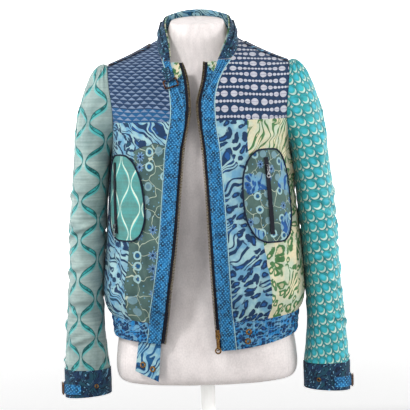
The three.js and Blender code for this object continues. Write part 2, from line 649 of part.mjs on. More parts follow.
// Zip bands, tapes and facings
for (const [name, front] of Object.entries(FRONTS)) {
  const seamAngle = frontAngle(front.seam(WAIST_SEAM.side), WAIST_SEAM.side);
  const heights = (low) => [low, 235, ...panelHeights(seamAngle, YOKE_Z), ...yokeHeights];
  const strip = (near, far) => (z, share) => {
    const distance = mix(near(z), far(z), share);
    const low = hem(frontAngle(front.side * distance, z));
    return frontPoint(front, distance, Math.max(z, low));
  };
  const sheet = (surface, from, vs, depthOut, depthIn) => {
    const grid = (depth) => vs.map((v) => heights(from).map((z) => raised(surface(z, v), -depth(z))));
    return wall(grid(depthOut), grid(depthIn));
  };
  const gap = SEAM_GAP / 2;
  const band = strip(front.edge, (z) => front.seam(z) - gap);
  add(`zip_band_${name}`, sheet(band, front.hem, steps(3), () => 0, () => CLOTH), COLOURS.bandBlue);
  const under = (z) => CLOTH + ON_CLOTH + (FACING.thick + ON_CLOTH) * smoothstep(z, YOKE_Z, yokeHeights[0]);
  const tape = strip((z) => front.zip(z) - 6, (z) => front.zip(z) + 5);
  add(`zip_tape_${name}`, sheet(tape, front.hem + 2, steps(1), under, (z) => under(z) + 1.2), COLOURS.tape);
  const facingHeights = [...yokeHeights.slice(0, -1), COLLAR_FRONT_Z - 1];
  const facing = (depth) => steps(3).map((share) => facingHeights.map((z) => {
    const distance = mix(front.zip(z) + 0.5, front.seam(z) - FACING.under, share);
    return raised(frontPoint(front, distance, z), -depth);
  }));
  const inside = CLOTH + ON_CLOTH;
  add(`facing_${name}`, wall(facing(inside), facing(inside + FACING.thick)), COLOURS.creamGreen);
}

// Waistband, ruched by elastic: the gathers rise from its outer side.
const RUCHE = { depth: 1.6, gathers: 20 };
function waistband(from, to, columns) {
  const surface = (u, share) => {
    const angle = mix(from(235), to, u);
    const z = mix(hem(angle), waistSeam(angle) - SEAM_GAP, share);
    return bodyPoint(mix(from(z), to, u), z);
  };
  const us = steps(columns);
  const outer = us.map((u, i) =>
    [0, 0.5, 1].map((share) => {
      const swell = RUCHE.depth * (i % 2) * (share === 0.5 ? 1 : 0.55);
      return raised(surface(u, share), share === 1 ? 0 : swell);
    }),
  );
  const inner = us.map((u) => [0, 0.5, 1].map((share) => raised(surface(u, share), -CLOTH)));
  return wall(outer, inner, { innerRows: [0, 2] });
}
const sideGap = SEAM_GAP / 2 / 180;
for (const [name, front] of Object.entries(FRONTS)) {
  const from = (z) => front.side * frontAngle(front.seam(z) + 0.3, z);
  const to = front.side * (Math.PI / 2 - sideGap);
  add(`waistband_${name}`, waistband(from, to, name === "left" ? 24 : 16), COLOURS.leopard);
}
add("waistband_back",
  waistband(() => Math.PI / 2 + sideGap, 1.5 * Math.PI - sideGap, 2 * RUCHE.gathers),
  COLOURS.leopard);

// The tab that hangs from the right end of the waistband, under the zip band
const TAB = {
  topLeft: [-127, 244], topRight: [-84, 248], bottomLeft: [-138, 166], bottomRight: [-93, 148], under: 7.2, swing: 8,
};
function tabPoint(u, v, lift = 0) {
  const at = (name) => vec(TAB[name][0], 0, TAB[name][1]);
  const top = at("topLeft").lerp(at("topRight"), u);
  const p = top.lerp(at("bottomLeft").lerp(at("bottomRight"), u), v);
  const z = Math.max(p.z, 222);
  const y = frontPoint(FRONTS.right, -p.x, z).y + TAB.under;
  return vec(p.x, y - lift - TAB.swing * Math.max(0, v - 0.35), p.z);
}
add("waist_tab", between(tabPoint, steps(4), steps(6), 2, 0, 1), COLOURS.tiger);

// Epaulettes along the shoulder seams, most of each on the front yoke
const EPAULETTE = { outer: 17, inner: 12.5, forward: 0.5, from: 0.13, to: 0.97, thick: 2, lift: 0.8 };
function shoulderPoint(name, share, across) {
  const front = FRONTS[name];
  if (across <= 0) return yokeSurfaces[name](share, 1 + across / 175);
  const u = name === "left" ? (1 - share) * BACK_SHOULDER_SHARE : 1 - (1 - share) * BACK_SHOULDER_SHARE;
  return yokeSurfaces.back(u, 1 - across / 120);
}
for (const name of ["left", "right"]) {
  const grid = (lift) =>
    steps(8, EPAULETTE.from, EPAULETTE.to).map((share) =>
      steps(4, -1, 1).map((across) => {
        const half = mix(EPAULETTE.inner, EPAULETTE.outer, share);
        return raised(shoulderPoint(name, share, (across - EPAULETTE.forward) * half), lift);
      }),
    );
  add(`epaulette_${name}`, wall(grid(EPAULETTE.lift + EPAULETTE.thick), grid(EPAULETTE.lift)), COLOURS.navy);
}

// Pockets: rounded patches on the fronts, a little full in the middle
const POCKET = { thick: 1.6, fullness: 2.4, power: 2.7 };
function pocketPoint(pocket, u, v, lift = 0) {
  const share = (1 - Math.abs(v) ** POCKET.power) ** (1 / POCKET.power);
  const z = pocket.z + v * pocket.halfHeight;
  const degrees = pocket.angle + u * share * pocket.halfAngle + pocket.lean * v;
  const middle = (1 - (u * share) ** 2) * (1 - v ** 2);
  return raised(bodyPoint(pocket.side * radians(degrees), z), lift + POCKET.fullness * middle);
}
const POCKET_ROWS = [-0.985, -0.93, -0.8, -0.5, -0.17, 0.17, 0.5, 0.8, 0.93, 0.985];
const POCKET_ZIP = { width: 9, thick: 1, from: -0.82, to: 0.82 };
function pocketZipPoint(pocket, across, v, lift) {
  const share = (1 - Math.abs(v) ** POCKET.power) ** (1 / POCKET.power);
  const start = (pocket.zipAngle - pocket.angle) / (pocket.halfAngle * share);
  return pocketPoint(pocket, start + (across / 2.6) / (pocket.halfAngle * share), v, lift);
}
for (const [name, pocket] of Object.entries(POCKETS)) {
  const grid = (lift) => steps(6, -1, 1).map((u) => POCKET_ROWS.map((v) => pocketPoint(pocket, u, v, lift)));
  add(`pocket_${name}`, wall(grid(ON_CLOTH + POCKET.thick), grid(ON_CLOTH)), COLOURS.ogee);
  const low = ON_CLOTH + POCKET.thick + ON_CLOTH;
  const half = POCKET_ZIP.width / 2;
  const zip = (lift) =>
    steps(2, -half, half).map((across) =>
      steps(8, POCKET_ZIP.from, POCKET_ZIP.to).map((v) => pocketZipPoint(pocket, across, v, lift)),
    );
  add(`pocket_zip_${name}`, wall(zip(low + POCKET_ZIP.thick), zip(low)), COLOURS.tape);
}

// Hard trim: each piece is made flat, X across, Y up along the cloth, Z out of it, and then placed.
function place(mesh, at, way, up = vec(0, 0, 1)) {
  const out = way.clone().normalize();
  const across = up.clone().cross(out).normalize();
  const rise = out.clone().cross(across);
  mesh.position.copy(at);
  mesh.quaternion.setFromRotationMatrix(new THREE.Matrix4().makeBasis(across, rise, out));
  return mesh;
}
const box = (x, y, z, width, height, depth) => {
  const shape = new THREE.BoxGeometry(width, height, depth);
  shape.translate(x, y, z);
  return solidOf(shape);
};
const rod = (x, y, z, radius, length, turn = "z", segments = 8) => {
  const shape = new THREE.CylinderGeometry(radius, radius, length, segments);
  if (turn === "z") shape.rotateZ(Math.PI / 2);
  else shape.rotateX(Math.PI / 2);
  shape.translate(x, y, z);
  return solidOf(shape);
};
const joined = (solids) => wasm.Manifold.union(solids);

// A slider's body with its bridge. The pull's bar lies under the bridge and turns about X.
function sliderShape(size) {
  const body = box(0, 0, 1.6 * size, 8 * size, 12 * size, 3.2 * size);
  const bridge = box(0, 0, 5.2 * size, 2.4 * size, 11 * size, 4.6 * size);
  const tunnel = box(0, 0, 4.8 * size, 4 * size, 7.5 * size, 3.2 * size);
  return geometryOf(joined([body, bridge]).subtract(tunnel));
}
// A pull hanging from its bar, which is its origin. A flat leg widens into a ring at the end.
function pullShape(size, length) {
  const bar = rod(0, 0, 0, 0.9 * size, 8.6 * size);
  const legs = [-1, 1].map((side) => box(side * 3.3 * size, -4 * size, 0, 2 * size, 8 * size, 1.8 * size));
  const yoke = box(0, -8.6 * size, 0, 8.6 * size, 2.6 * size, 1.8 * size);
  const stem = box(0, -(9 * size + length) / 2, 0, 5.5 * size, length - 9 * size, 1.8 * size);
  const ring = rod(0, -length, 0, 6.4 * size, 1.8 * size, "y", 14);
  const hole = rod(0, -length, 0, 3.6 * size, 6 * size, "y", 10);
  return geometryOf(joined([bar, ...legs, yoke, stem, ring]).subtract(hole));
}
function addZipPull(name, at, way, size, length, colour) {
  const slider = add(`${name}_slider`, sliderShape(size), ...colour);
  place(slider, at, way);
  const pull = add(`${name}_pull`, pullShape(size, length), ...colour);
  place(pull, along(at, way, 4.7 * size), way);
}
{
  const front = FRONTS.left;
  const z = 240;
  const at = frontPoint(front, front.zip(z) - 4.8, z);
  const way = vec(at.x / 175 ** 2, at.y / 140 ** 2, 0).normalize();
  addZipPull("main_zip", along(at, way, 1.1 - CLOTH - ON_CLOTH), way, 1, 33, METAL.brass);
}
for (const [name, pocket] of Object.entries(POCKETS)) {
  const v = (pocket.pullZ - pocket.z) / pocket.halfHeight;
  const low = ON_CLOTH * 2 + POCKET.thick + POCKET_ZIP.thick;
  const at = pocketZipPoint(pocket, 0, v, low);
  const way = outward(at);
  addZipPull(`pocket_${name}_zip`, along(at, way, 0.5), way, 0.7, 17, METAL.gunmetal);
}

// Eyelets: a flat ring with rounded edges
const EYELET = 6.4; // radius of the waistband's snaps and the tab's eyelets
function eyeletShape(radius) {
  const [hole, edge] = [radius * 0.5, radius];
  const profile = [[hole, 0], [edge, 0], [edge - 0.5, 1.1], [hole, 1.2], [hole, 0]];
  const shape = new THREE.LatheGeometry(profile.map(([x, y]) => new THREE.Vector2(x, y)), 12);
  shape.rotateX(Math.PI / 2);
  return geometryOf(solidOf(shape));
}
function addEyelet(name, at, way, radius) {
  place(add(name, eyeletShape(radius), ...METAL.brass), at, way);
}
{
  const front = FRONTS.left;
  for (const [i, [distance, z]] of [[78, 222], [80, 240]].entries()) {
    const p = frontPoint(front, distance, z);
    addEyelet(`waist_snap_${i + 1}`, raised(p, RUCHE.depth + 0.6), outward(p), EYELET);
  }
  const across = tabPoint(0.9, 0.8, 2).sub(tabPoint(0.1, 0.8, 2));
  const way = across.cross(tabPoint(0.5, 0.6, 2).sub(tabPoint(0.5, 1, 2))).normalize();
  for (const [i, [u, v]] of [[0.3, 0.78], [0.72, 0.8]].entries())
    addEyelet(`tab_eyelet_${i + 1}`, along(tabPoint(u, v, 2), way, 0.6), way, EYELET);
  for (const [name, side] of [["left", 1], ["right", -1]]) {
    const angle = radians(112);
    const p = mirrored(cuffPoint(angle, 0.6, 0.7), side);
    const away = mirrored(vec(Math.cos(angle), -Math.sin(angle), 0), side);
    addEyelet(`cuff_eyelet_${name}`, p, away, 4.5);
  }
}

// Buckle frames
function buckleShape(width, height, bar, slots = 1) {
  const shape = new THREE.Shape();
  const [w, h, r] = [width / 2, height / 2, 2.5];
  shape.moveTo(-w + r, -h);
  shape.lineTo(w - r, -h);
  shape.absarc(w - r, -h + r, r, -Math.PI / 2, 0);
  shape.absarc(w - r, h - r, r, 0, Math.PI / 2);
  shape.absarc(-w + r, h - r, r, Math.PI / 2, Math.PI);
  shape.absarc(-w + r, -h + r, r, Math.PI, 1.5 * Math.PI);
  const frame = new THREE.ExtrudeGeometry(shape, { depth: bar, bevelEnabled: false, curveSegments: 4 });
  frame.translate(0, 0, -bar / 2);
  const holes = slots === 1
    ? [box(0, 0, 0, width - 2 * bar, height - 2 * bar, 3 * bar)]
    : [-1, 1].map((side) => box((side * (width - bar)) / 4, 0, 0, (width - 3 * bar) / 2, height - 2 * bar, 3 * bar));
  return solidOf(frame).subtract(joined(holes));
}

// The loose buckle hangs in a folded strap from the right end of the collar.
const THROAT = { x: -53, z: 738, turn: 22, width: 28, height: 19, bar: 2.6, strapWidth: 15, length: 26 };
{
  const front = FRONTS.right;
  const at = frontPoint(front, -THROAT.x, THROAT.z);
  const low = frontPoint(front, -THROAT.x + 4, THROAT.z - 40);
  const slope = at.clone().sub(low).normalize();
  const side = vec(1, 0, 0).applyAxisAngle(outward(low), radians(-THROAT.turn));
  const way = side.clone().cross(slope).normalize();
  const facing = way.y < 0 ? way : way.negate();
  const origin = along(at.clone().add(low).multiplyScalar(0.5), facing, 5.2);
  // The strap is a hairpin in the YZ plane round the buckle's top bar, whose middle is the origin.
  const [inner, thick] = [THROAT.bar / 2 + 1, 1.3];
  const hairpin = new THREE.Shape();
  hairpin.moveTo(THROAT.length, inner);
  hairpin.lineTo(0, inner);
  hairpin.absarc(0, 0, inner, Math.PI / 2, 1.5 * Math.PI);
  hairpin.lineTo(THROAT.length * 0.8, -inner);
  hairpin.lineTo(THROAT.length * 0.8, -inner - thick);
  hairpin.lineTo(0, -inner - thick);
  hairpin.absarc(0, 0, inner + thick, 1.5 * Math.PI, Math.PI / 2, true);
  hairpin.lineTo(THROAT.length, inner + thick);
  const strap = new THREE.ExtrudeGeometry(hairpin, { depth: THROAT.strapWidth, bevelEnabled: false, curveSegments: 8 });
  strap.translate(0, 0, -THROAT.strapWidth / 2);
  strap.applyMatrix4(new THREE.Matrix4().makeBasis(vec(0, 1, 0), vec(0, 0, 1), vec(1, 0, 0)));
  const up = slope.clone().applyAxisAngle(facing, radians(THROAT.turn));
  place(add("buckle_strap", geometryOf(solidOf(strap)), COLOURS.navy), origin, facing, up);
  const frame = buckleShape(THROAT.width, THROAT.height, THROAT.bar);
  const hung = frame.translate(0, -THROAT.height / 2 + THROAT.bar / 2, 0);
  place(add("throat_buckle", geometryOf(hung), ...METAL.gunmetal), origin, facing, up);
}

// Cuff buckles: a frame on the strap, in the upright plane that touches the cuff's outer side
for (const [name, side] of [["left", 1], ["right", -1]]) {
  const angle = radians(12);
  const p = mirrored(cuffPoint(angle, 0.68, ON_CLOTH + 1.6 + 1.5), side);
  const way = mirrored(vec(Math.cos(angle), -Math.sin(angle), 0), side);
  place(add(`cuff_buckle_${name}`, geometryOf(buckleShape(19, 24, 2.4, 2)), ...METAL.gunmetal), p, way);
}

// Dress form: rings from the bottom to the neck cap, which leans towards the front
const FORM_COLUMNS = 32;
function formShape() {
  const rings = FORM_SECTIONS.map(({ z, width, front, back, power }) =>
    ringAngles(FORM_COLUMNS).map((angle) => {
      const [x, y] = superellipse(angle, width, front, back, power);
      const ramp = smoothstep(z, FORM_CAP.from, FORM_CAP.to);
      return vec(x, y, z + FORM_CAP.slope * ramp * (y - FORM_CAP.middleY));
    }),
  );
  const middle = (ring) => ring.reduce((sum, p) => sum.add(p), vec(0, 0, 0)).divideScalar(ring.length);
  const points = [...rings.flat(), middle(rings[0]), middle(rings.at(-1))];
  const faces = [];
  const at = (row, i) => row * FORM_COLUMNS + (i % FORM_COLUMNS);
  const [bottom, top] = [points.length - 2, points.length - 1];
  for (let i = 0; i < FORM_COLUMNS; i++) {
    for (let row = 0; row < rings.length - 1; row++) {
      faces.push(at(row, i), at(row, i + 1), at(row + 1, i + 1));
      faces.push(at(row, i), at(row + 1, i + 1), at(row + 1, i));
    }
    faces.push(bottom, at(0, i + 1), at(0, i), top, at(rings.length - 1, i), at(rings.length - 1, i + 1));
  }
  const geometry = new THREE.BufferGeometry();
  geometry.setAttribute("position", new THREE.Float32BufferAttribute(points.flatMap((p) => [p.x, p.y, p.z]), 3));
  geometry.setIndex(faces);
  return facingOut(geometry);
}
add("dress_form", formShape(), COLOURS.form, 0.9);

// Stand
function turned(profile, segments = 32) {
  const shape = new THREE.LatheGeometry(profile.map(([x, y]) => new THREE.Vector2(x, y)), segments);
  shape.rotateX(Math.PI / 2);
  return geometryOf(solidOf(shape));
}
{
  const { baseRadius, baseHeight, poleRadius, plateRadius, plateHeight } = STAND;
  const poleTop = FORM_BOTTOM - SEAM_GAP - plateHeight;
  add("stand_base",
    turned([[0, 0], [baseRadius, 0], [baseRadius, baseHeight - 4], [baseRadius - 4, baseHeight], [0, baseHeight]]),
    COLOURS.stand, 0.5);
  add("stand_pole",
    turned([
      [0, baseHeight + SEAM_GAP], [poleRadius, baseHeight + SEAM_GAP], [poleRadius, poleTop],
      [plateRadius, poleTop], [plateRadius, poleTop + plateHeight], [0, poleTop + plateHeight],
    ], 16),
    COLOURS.stand, 0.5);
}

export default root;
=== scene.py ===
"""Looks of a printed patchwork jacket on a dress form: laid out as an add-on, run as a script."""
import math
from collections import namedtuple

import bmesh
import bpy
import numpy as np
from bpy.props import FloatProperty, FloatVectorProperty, PointerProperty
from mathutils import Matrix, Vector, noise
from mathutils.bvhtree import BVHTree


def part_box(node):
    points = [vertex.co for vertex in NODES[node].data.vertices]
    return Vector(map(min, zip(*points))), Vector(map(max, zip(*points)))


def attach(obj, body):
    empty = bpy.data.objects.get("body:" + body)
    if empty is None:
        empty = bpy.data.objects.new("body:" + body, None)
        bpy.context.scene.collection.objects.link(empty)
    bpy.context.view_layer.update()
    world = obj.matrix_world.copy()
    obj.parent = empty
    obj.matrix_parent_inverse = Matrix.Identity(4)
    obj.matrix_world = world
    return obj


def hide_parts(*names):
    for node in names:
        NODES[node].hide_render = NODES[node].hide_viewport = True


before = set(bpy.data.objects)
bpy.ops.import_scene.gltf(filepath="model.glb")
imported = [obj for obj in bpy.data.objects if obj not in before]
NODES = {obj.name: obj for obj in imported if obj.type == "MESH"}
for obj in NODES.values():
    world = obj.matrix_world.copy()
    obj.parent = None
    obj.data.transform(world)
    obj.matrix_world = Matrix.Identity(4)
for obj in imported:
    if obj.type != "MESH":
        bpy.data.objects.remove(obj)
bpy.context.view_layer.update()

bl_info = {
    "name": "Printed patchwork jacket",
    "version": (1, 0, 0),
    "blender": (4, 5, 0),
    "location": "View3D > Sidebar > Jacket",
    "description": "Dresses the packed solids of a patchwork jacket on a dress form",
    "category": "Object",
}

BODY = "jacket"
MM = 0.001

# Radii in mm that turn an angle round the body, a sleeve and the collar into a place on the cloth
BODY_ROUND = 165
SLEEVE_ROUND = 40
COLLAR_ROUND = 78

# Edges that bend by more than this, in radians, are cut edges and stay sharp
SHARP = 0.9


def paint(code):
    """A linear colour from its six hex digits."""
    channels = [int(code[i : i + 2], 16) / 255 for i in (0, 2, 4)]
    return tuple(c / 12.92 if c <= 0.04045 else ((c + 0.055) / 1.055) ** 2.4 for c in channels)


def colour(name, code, text):
    return FloatVectorProperty(
        name=name, description=text, subtype="COLOR", size=3, min=0, max=1, default=paint(code)
    )


def metres(name, default, text, **limits):
    return FloatProperty(name=name, description=text, default=default, unit="LENGTH", **limits)


def degrees(name, default, text):
    return FloatProperty(name=name, description=text, default=math.radians(default), subtype="ANGLE")


class JacketColours(bpy.types.PropertyGroup):
    """Colours of the prints, trims and form"""

    navy: colour("Navy", "17304f", "Ground of the yokes, and marks of the animal prints")
    deep_navy: colour("Deep navy", "0e1a2e", "Darkest tone of the prints")
    royal: colour("Royal", "1d4c86", "Hearts of the blue leopard print and flowers")
    blue: colour("Blue", "144a74", "Ground of the zip bands")
    bright_blue: colour("Bright blue", "2273aa", "Lighter patches of the zip bands")
    sky: colour("Sky", "5f8fab", "Light blue of the prints")
    mint: colour("Mint", "8fb0b4", "Ground of the blue leopard and tiger prints")
    frost: colour("Frost", "bccdbd", "Crescents of the scallop sleeve, and piping")
    pale_mint: colour("Pale mint", "9aaba6", "Ground of the ogee sleeve")
    grey_mint: colour("Grey mint", "5c7676", "Shaded ground of the ogee sleeve")
    teal: colour("Teal", "17868a", "Darker ground of the scallop sleeve")
    deep_teal: colour("Deep teal", "0b4a4c", "Strokes of the ogee sleeve")
    dark_teal: colour("Dark teal", "1a4250", "Inner tone of the tiger print")
    turquoise: colour("Turquoise", "35a8a8", "Glow of the ogee strokes")
    dot: colour("Dot", "4f9fcb", "Dots of the zip bands")
    aqua: colour("Aqua", "36a6ba", "Bowls of the scallops")
    sea: colour("Sea", "3f8f8c", "Ground of the right pocket")
    sage: colour("Sage", "4a625c", "Ground of the garden print")
    dark_sage: colour("Dark sage", "2e4546", "Shaded ground of the garden print")
    linen: colour("Linen", "aeb8a4", "Fine curves of the garden print")
    fog: colour("Fog", "6f909c", "Plain discs of the garden print")
    cream: colour("Cream", "c6bb9c", "Ground of the cream leopard print")
    leaf: colour("Leaf", "3f6a40", "Spots of the cream leopard print")
    pale_leaf: colour("Pale leaf", "8a9f74", "Light green of the cream leopard print")
    lavender: colour("Lavender", "76879f", "Triangles of the right yoke")
    shell: colour("Shell", "aeb0b8", "Discs of the left yoke")
    mauve: colour("Mauve", "5a4a66", "Strokes on the discs")
    rose_beige: colour("Rose beige", "b99f9a", "Hearts of the small stars")
    umber: colour("Umber", "33261f", "Ground of the epaulettes")
    tape: colour("Tape", "12141f", "Zip tape")
    form: colour("Form", "dcd5d3", "Jersey of the dress form")
    form_shade: colour("Form shade", "c4bbba", "Shaded jersey of the dress form")
    stand: colour("Stand", "f4f4f2", "Paint of the stand")


class JacketSizes(bpy.types.PropertyGroup):
    """Sizes of the cloth's finer form and of the sewing"""

    fold: FloatProperty(
        name="Fold depth", description="Scale of the soft creases", default=1.6, min=0, max=2.5
    )
    crumple: metres("Crumple", 0.001, "Height of the finest unevenness", min=0, max=0.003)
    cell: metres("Cell", 0.006, "Height of the slices that cloth is cut to", min=0.004)
    stitch: metres("Stitch", 0.0034, "Length from stitch to stitch", min=0.002)
    tooth: metres("Tooth", 0.0028, "Length from zip tooth to zip tooth", min=0.002)


class JacketStage(bpy.types.PropertyGroup):
    """Camera"""

    distance: metres("Distance", 3.2, "From camera to jacket", min=1)
    aim_height: metres("Aim height", 0.475, "Height of the frame's middle")
    aim_side: metres("Aim side", 0.005, "Sideways place of the frame's middle")
    elevation: degrees("Elevation", 4, "Camera's angle above level")
    roll: degrees("Roll", -1.7, "Camera's roll")
    frame_width: metres("Frame width", 0.8036, "Width that the frame shows at the jacket")


def sizes():
    return bpy.context.scene.jacket_sizes


def tone(name):
    return tuple(getattr(bpy.context.scene.jacket_colours, name)) + (1.0,)


# Shader fields: numbers that vary over a surface, with arithmetic that adds nodes


class Field:
    def __init__(self, tree, socket):
        self.tree = tree
        self.socket = socket

    def math(self, operation, *others):
        node = self.tree.nodes.new("ShaderNodeMath")
        node.operation = operation
        for slot, value in zip(node.inputs, (self, *others)):
            if isinstance(value, Field):
                self.tree.links.new(value.socket, slot)
            else:
                slot.default_value = value
        return Field(self.tree, node.outputs[0])

    def __add__(self, other):
        return self.math("ADD", other)

    def __sub__(self, other):
        return self.math("SUBTRACT", other)

    def __mul__(self, other):
        return self.math("MULTIPLY", other)

    def __truediv__(self, other):
        return self.math("DIVIDE", other)

    def __abs__(self):
        return self.math("ABSOLUTE")

    def fraction(self):
        return self.math("FRACT")

    def whole(self):
        return self.math("FLOOR")

    def sine(self, period):
        """One wave for each period."""
        return (self * (2 * math.pi / period)).math("SINE")

    def cosine(self, period):
        return (self * (2 * math.pi / period)).math("COSINE")

    def power(self, exponent):
        return self.math("POWER", exponent)

    def least(self, other):
        return self.math("MINIMUM", other)

    def most(self, other):
        return self.math("MAXIMUM", other)

    def below(self, level, soft=0.1):
        """1 where the field is under the level, 0 over it, with a soft edge."""
        return ((self - level) * (-1 / soft) + 0.5).clamped()

    def above(self, level, soft=0.1):
        return ((self - level) * (1 / soft) + 0.5).clamped()

    def clamped(self):
        return self.most(0.0).least(1.0)

    def near(self, level, half, soft=0.1):
        return abs(self - level).below(half, soft)


def length(x, y):
    return (x * x + y * y).power(0.5)


# Pitch of the weave in mm
THREAD = 0.9


class Surface:
    """A cloth material being made: its tree, and the place on the cloth in millimetres."""

    def __init__(self, name, roughness=0.85, sheen=0.05):
        self.material = bpy.data.materials.new(name)
        self.material.use_nodes = True
        self.tree = self.material.node_tree
        self.shader = self.tree.nodes["Principled BSDF"]
        self.shader.inputs["Roughness"].default_value = roughness
        self.shader.inputs["Sheen Weight"].default_value = sheen
        self.shader.inputs["Sheen Roughness"].default_value = 0.5
        self.shader.inputs["Specular IOR Level"].default_value = 0.22
        layer = self.tree.nodes.new("ShaderNodeUVMap")
        layer.uv_map = "cloth"
        self.u, self.v = self.parts(layer.outputs[0])[:2]

    def parts(self, vector):
        node = self.tree.nodes.new("ShaderNodeSeparateXYZ")
        self.tree.links.new(vector, node.inputs[0])
        return [Field(self.tree, out) for out in node.outputs]

    def texture(self, kind, size, u, v, **settings):
        """A texture node with features of a size in millimetres."""
        joined = self.tree.nodes.new("ShaderNodeCombineXYZ")
        self.tree.links.new((self.u if u is None else u).socket, joined.inputs[0])
        self.tree.links.new((self.v if v is None else v).socket, joined.inputs[1])
        node = self.tree.nodes.new(kind)
        for name, value in settings.items():
            setattr(node, name, value)
        node.inputs["Scale"].default_value = 1 / size
        self.tree.links.new(joined.outputs[0], node.inputs["Vector"])
        return node

    def noise(self, size, u=None, v=None, detail=2.0, distortion=0.0):
        node = self.texture("ShaderNodeTexNoise", size, u, v, noise_dimensions="2D")
        node.inputs["Detail"].default_value = detail
        node.inputs["Distortion"].default_value = distortion
        return Field(self.tree, node.outputs[0])

    def scattered(self, size, u=None, v=None, randomness=0.8):
        """Across and up in mm from the nearest of scattered points, and its own number from 0 to 1."""
        u = self.u if u is None else u
        v = self.v if v is None else v
        node = self.texture("ShaderNodeTexVoronoi", size, u, v, voronoi_dimensions="2D")
        node.inputs["Randomness"].default_value = randomness
        near = self.parts(node.outputs["Position"])
        return u - near[0], v - near[1], self.parts(node.outputs["Color"])[0]

    def veins(self, size, u=None, v=None):
        """Distance in mm to the nearest line of an uneven net."""
        node = self.texture(
            "ShaderNodeTexVoronoi", size, u, v, voronoi_dimensions="2D", feature="DISTANCE_TO_EDGE"
        )
        return Field(self.tree, node.outputs["Distance"]) * size

    def drifted(self, size, reach):
        """The place on the cloth, pushed about so that what lies on it isn't even."""
        return (
            self.u + (self.noise(size, detail=1) - 0.5) * reach,
            self.v + (self.noise(size * 1.1, u=self.v, v=self.u, detail=1) - 0.5) * reach,
        )

    def turned(self, degrees, u=None, v=None):
        """The place on the cloth in axes turned by an angle."""
        u = self.u if u is None else u
        v = self.v if v is None else v
        c, s = math.cos(math.radians(degrees)), math.sin(math.radians(degrees))
        return u * c + v * s, v * c - u * s

    def mix(self, amount, low, high):
        """A colour between two, each a colour or an earlier mix."""
        node = self.tree.nodes.new("ShaderNodeMix")
        node.data_type = "RGBA"
        for value, slot in ((amount, node.inputs[0]), (low, node.inputs[6]), (high, node.inputs[7])):
            if isinstance(value, Field):
                self.tree.links.new(value.socket, slot)
            elif isinstance(value, bpy.types.NodeSocket):
                self.tree.links.new(value, slot)
            elif isinstance(value, str):
                slot.default_value = tone(value)
            else:
                slot.default_value = value
        return node.outputs[2]

    def finish(self, print_, relief=None, relief_height=0.1):
        """Adds fading, thread unevenness and weave to the print, and links it to the shader."""
        patchy = self.noise(34, detail=3) * 0.5 + self.noise(4, detail=3) * 0.5
        bright = self.tree.nodes.new("ShaderNodeHueSaturation")
        self.tree.links.new((patchy * 0.56 + 0.72).socket, bright.inputs["Value"])
        self.tree.links.new(print_, bright.inputs["Color"])
        self.tree.links.new(bright.outputs[0], self.shader.inputs["Base Color"])
        threads = self.u.sine(THREAD) * self.v.sine(THREAD)
        height = threads * 0.05 + self.noise(2.2, detail=3) * 0.14 + self.noise(9, detail=2) * 0.5
        if relief is not None:
            height = height + relief * relief_height
        bump = self.tree.nodes.new("ShaderNodeBump")
        bump.inputs["Strength"].default_value = 0.6
        bump.inputs["Distance"].default_value = MM
        self.tree.links.new(height.socket, bump.inputs["Height"])
        self.tree.links.new(bump.outputs[0], self.shader.inputs["Normal"])
        return self.material


# Prints

# Height plus 0.9 of the turn round the body, in mm, where the neck's print begins on the front facings
FACING_CORNER = 778.0

# Height in mm, less up to 30, of the join between the garden print and its strip of tiger print
STRIP_JOIN = 612.0


def centred(place, pitch, shift=0.0):
    """Distance in mm from the middle of each repeat."""
    return ((place / pitch + shift).fraction() - 0.5) * pitch


def lattice(v, across, cell, thin, thick):
    """How far a point is outside the leaf strokes of an ogee lattice."""
    width, height = cell
    swing = v.cosine(height) * 0.205 + 0.25
    body = abs(v.sine(height)).power(2.4) * (thick - thin) + thin
    p = across / width
    one = abs((p - swing + 0.5).fraction() - 0.5) * width
    other = abs((p + swing + 0.5).fraction() - 0.5) * width
    return one.least(other) - body


def ogee_print(name, ground, shade, line, glow, cell, thin, thick):
    """Upright rows of leaf strokes that meet and part, with a glow under each."""
    s = Surface(name, roughness=0.6, sheen=0.08)
    across = s.u + (s.noise(60, detail=1) - 0.5) * 9
    core = lattice(s.v, across, cell, thin, thick)
    halo = lattice(s.v + 3.6, across, cell, thin, thick * 1.25)
    threads = s.noise(40, u=s.u * 0.1, v=s.v * 9, detail=3).above(0.5, 0.5)
    print_ = s.mix(s.noise(38, detail=2).above(0.52, 0.4) * 0.5 + threads * 0.4, ground, shade)
    print_ = s.mix(halo.below(0, 2.6) * 0.75, print_, glow)
    print_ = s.mix(core.below(0, 0.9), print_, line)
    print_ = s.mix(core.below(-1.6, 1.2) * s.noise(9).above(0.5, 0.2) * 0.7, print_, glow)
    return s.finish(print_, core.below(0, 1.0))


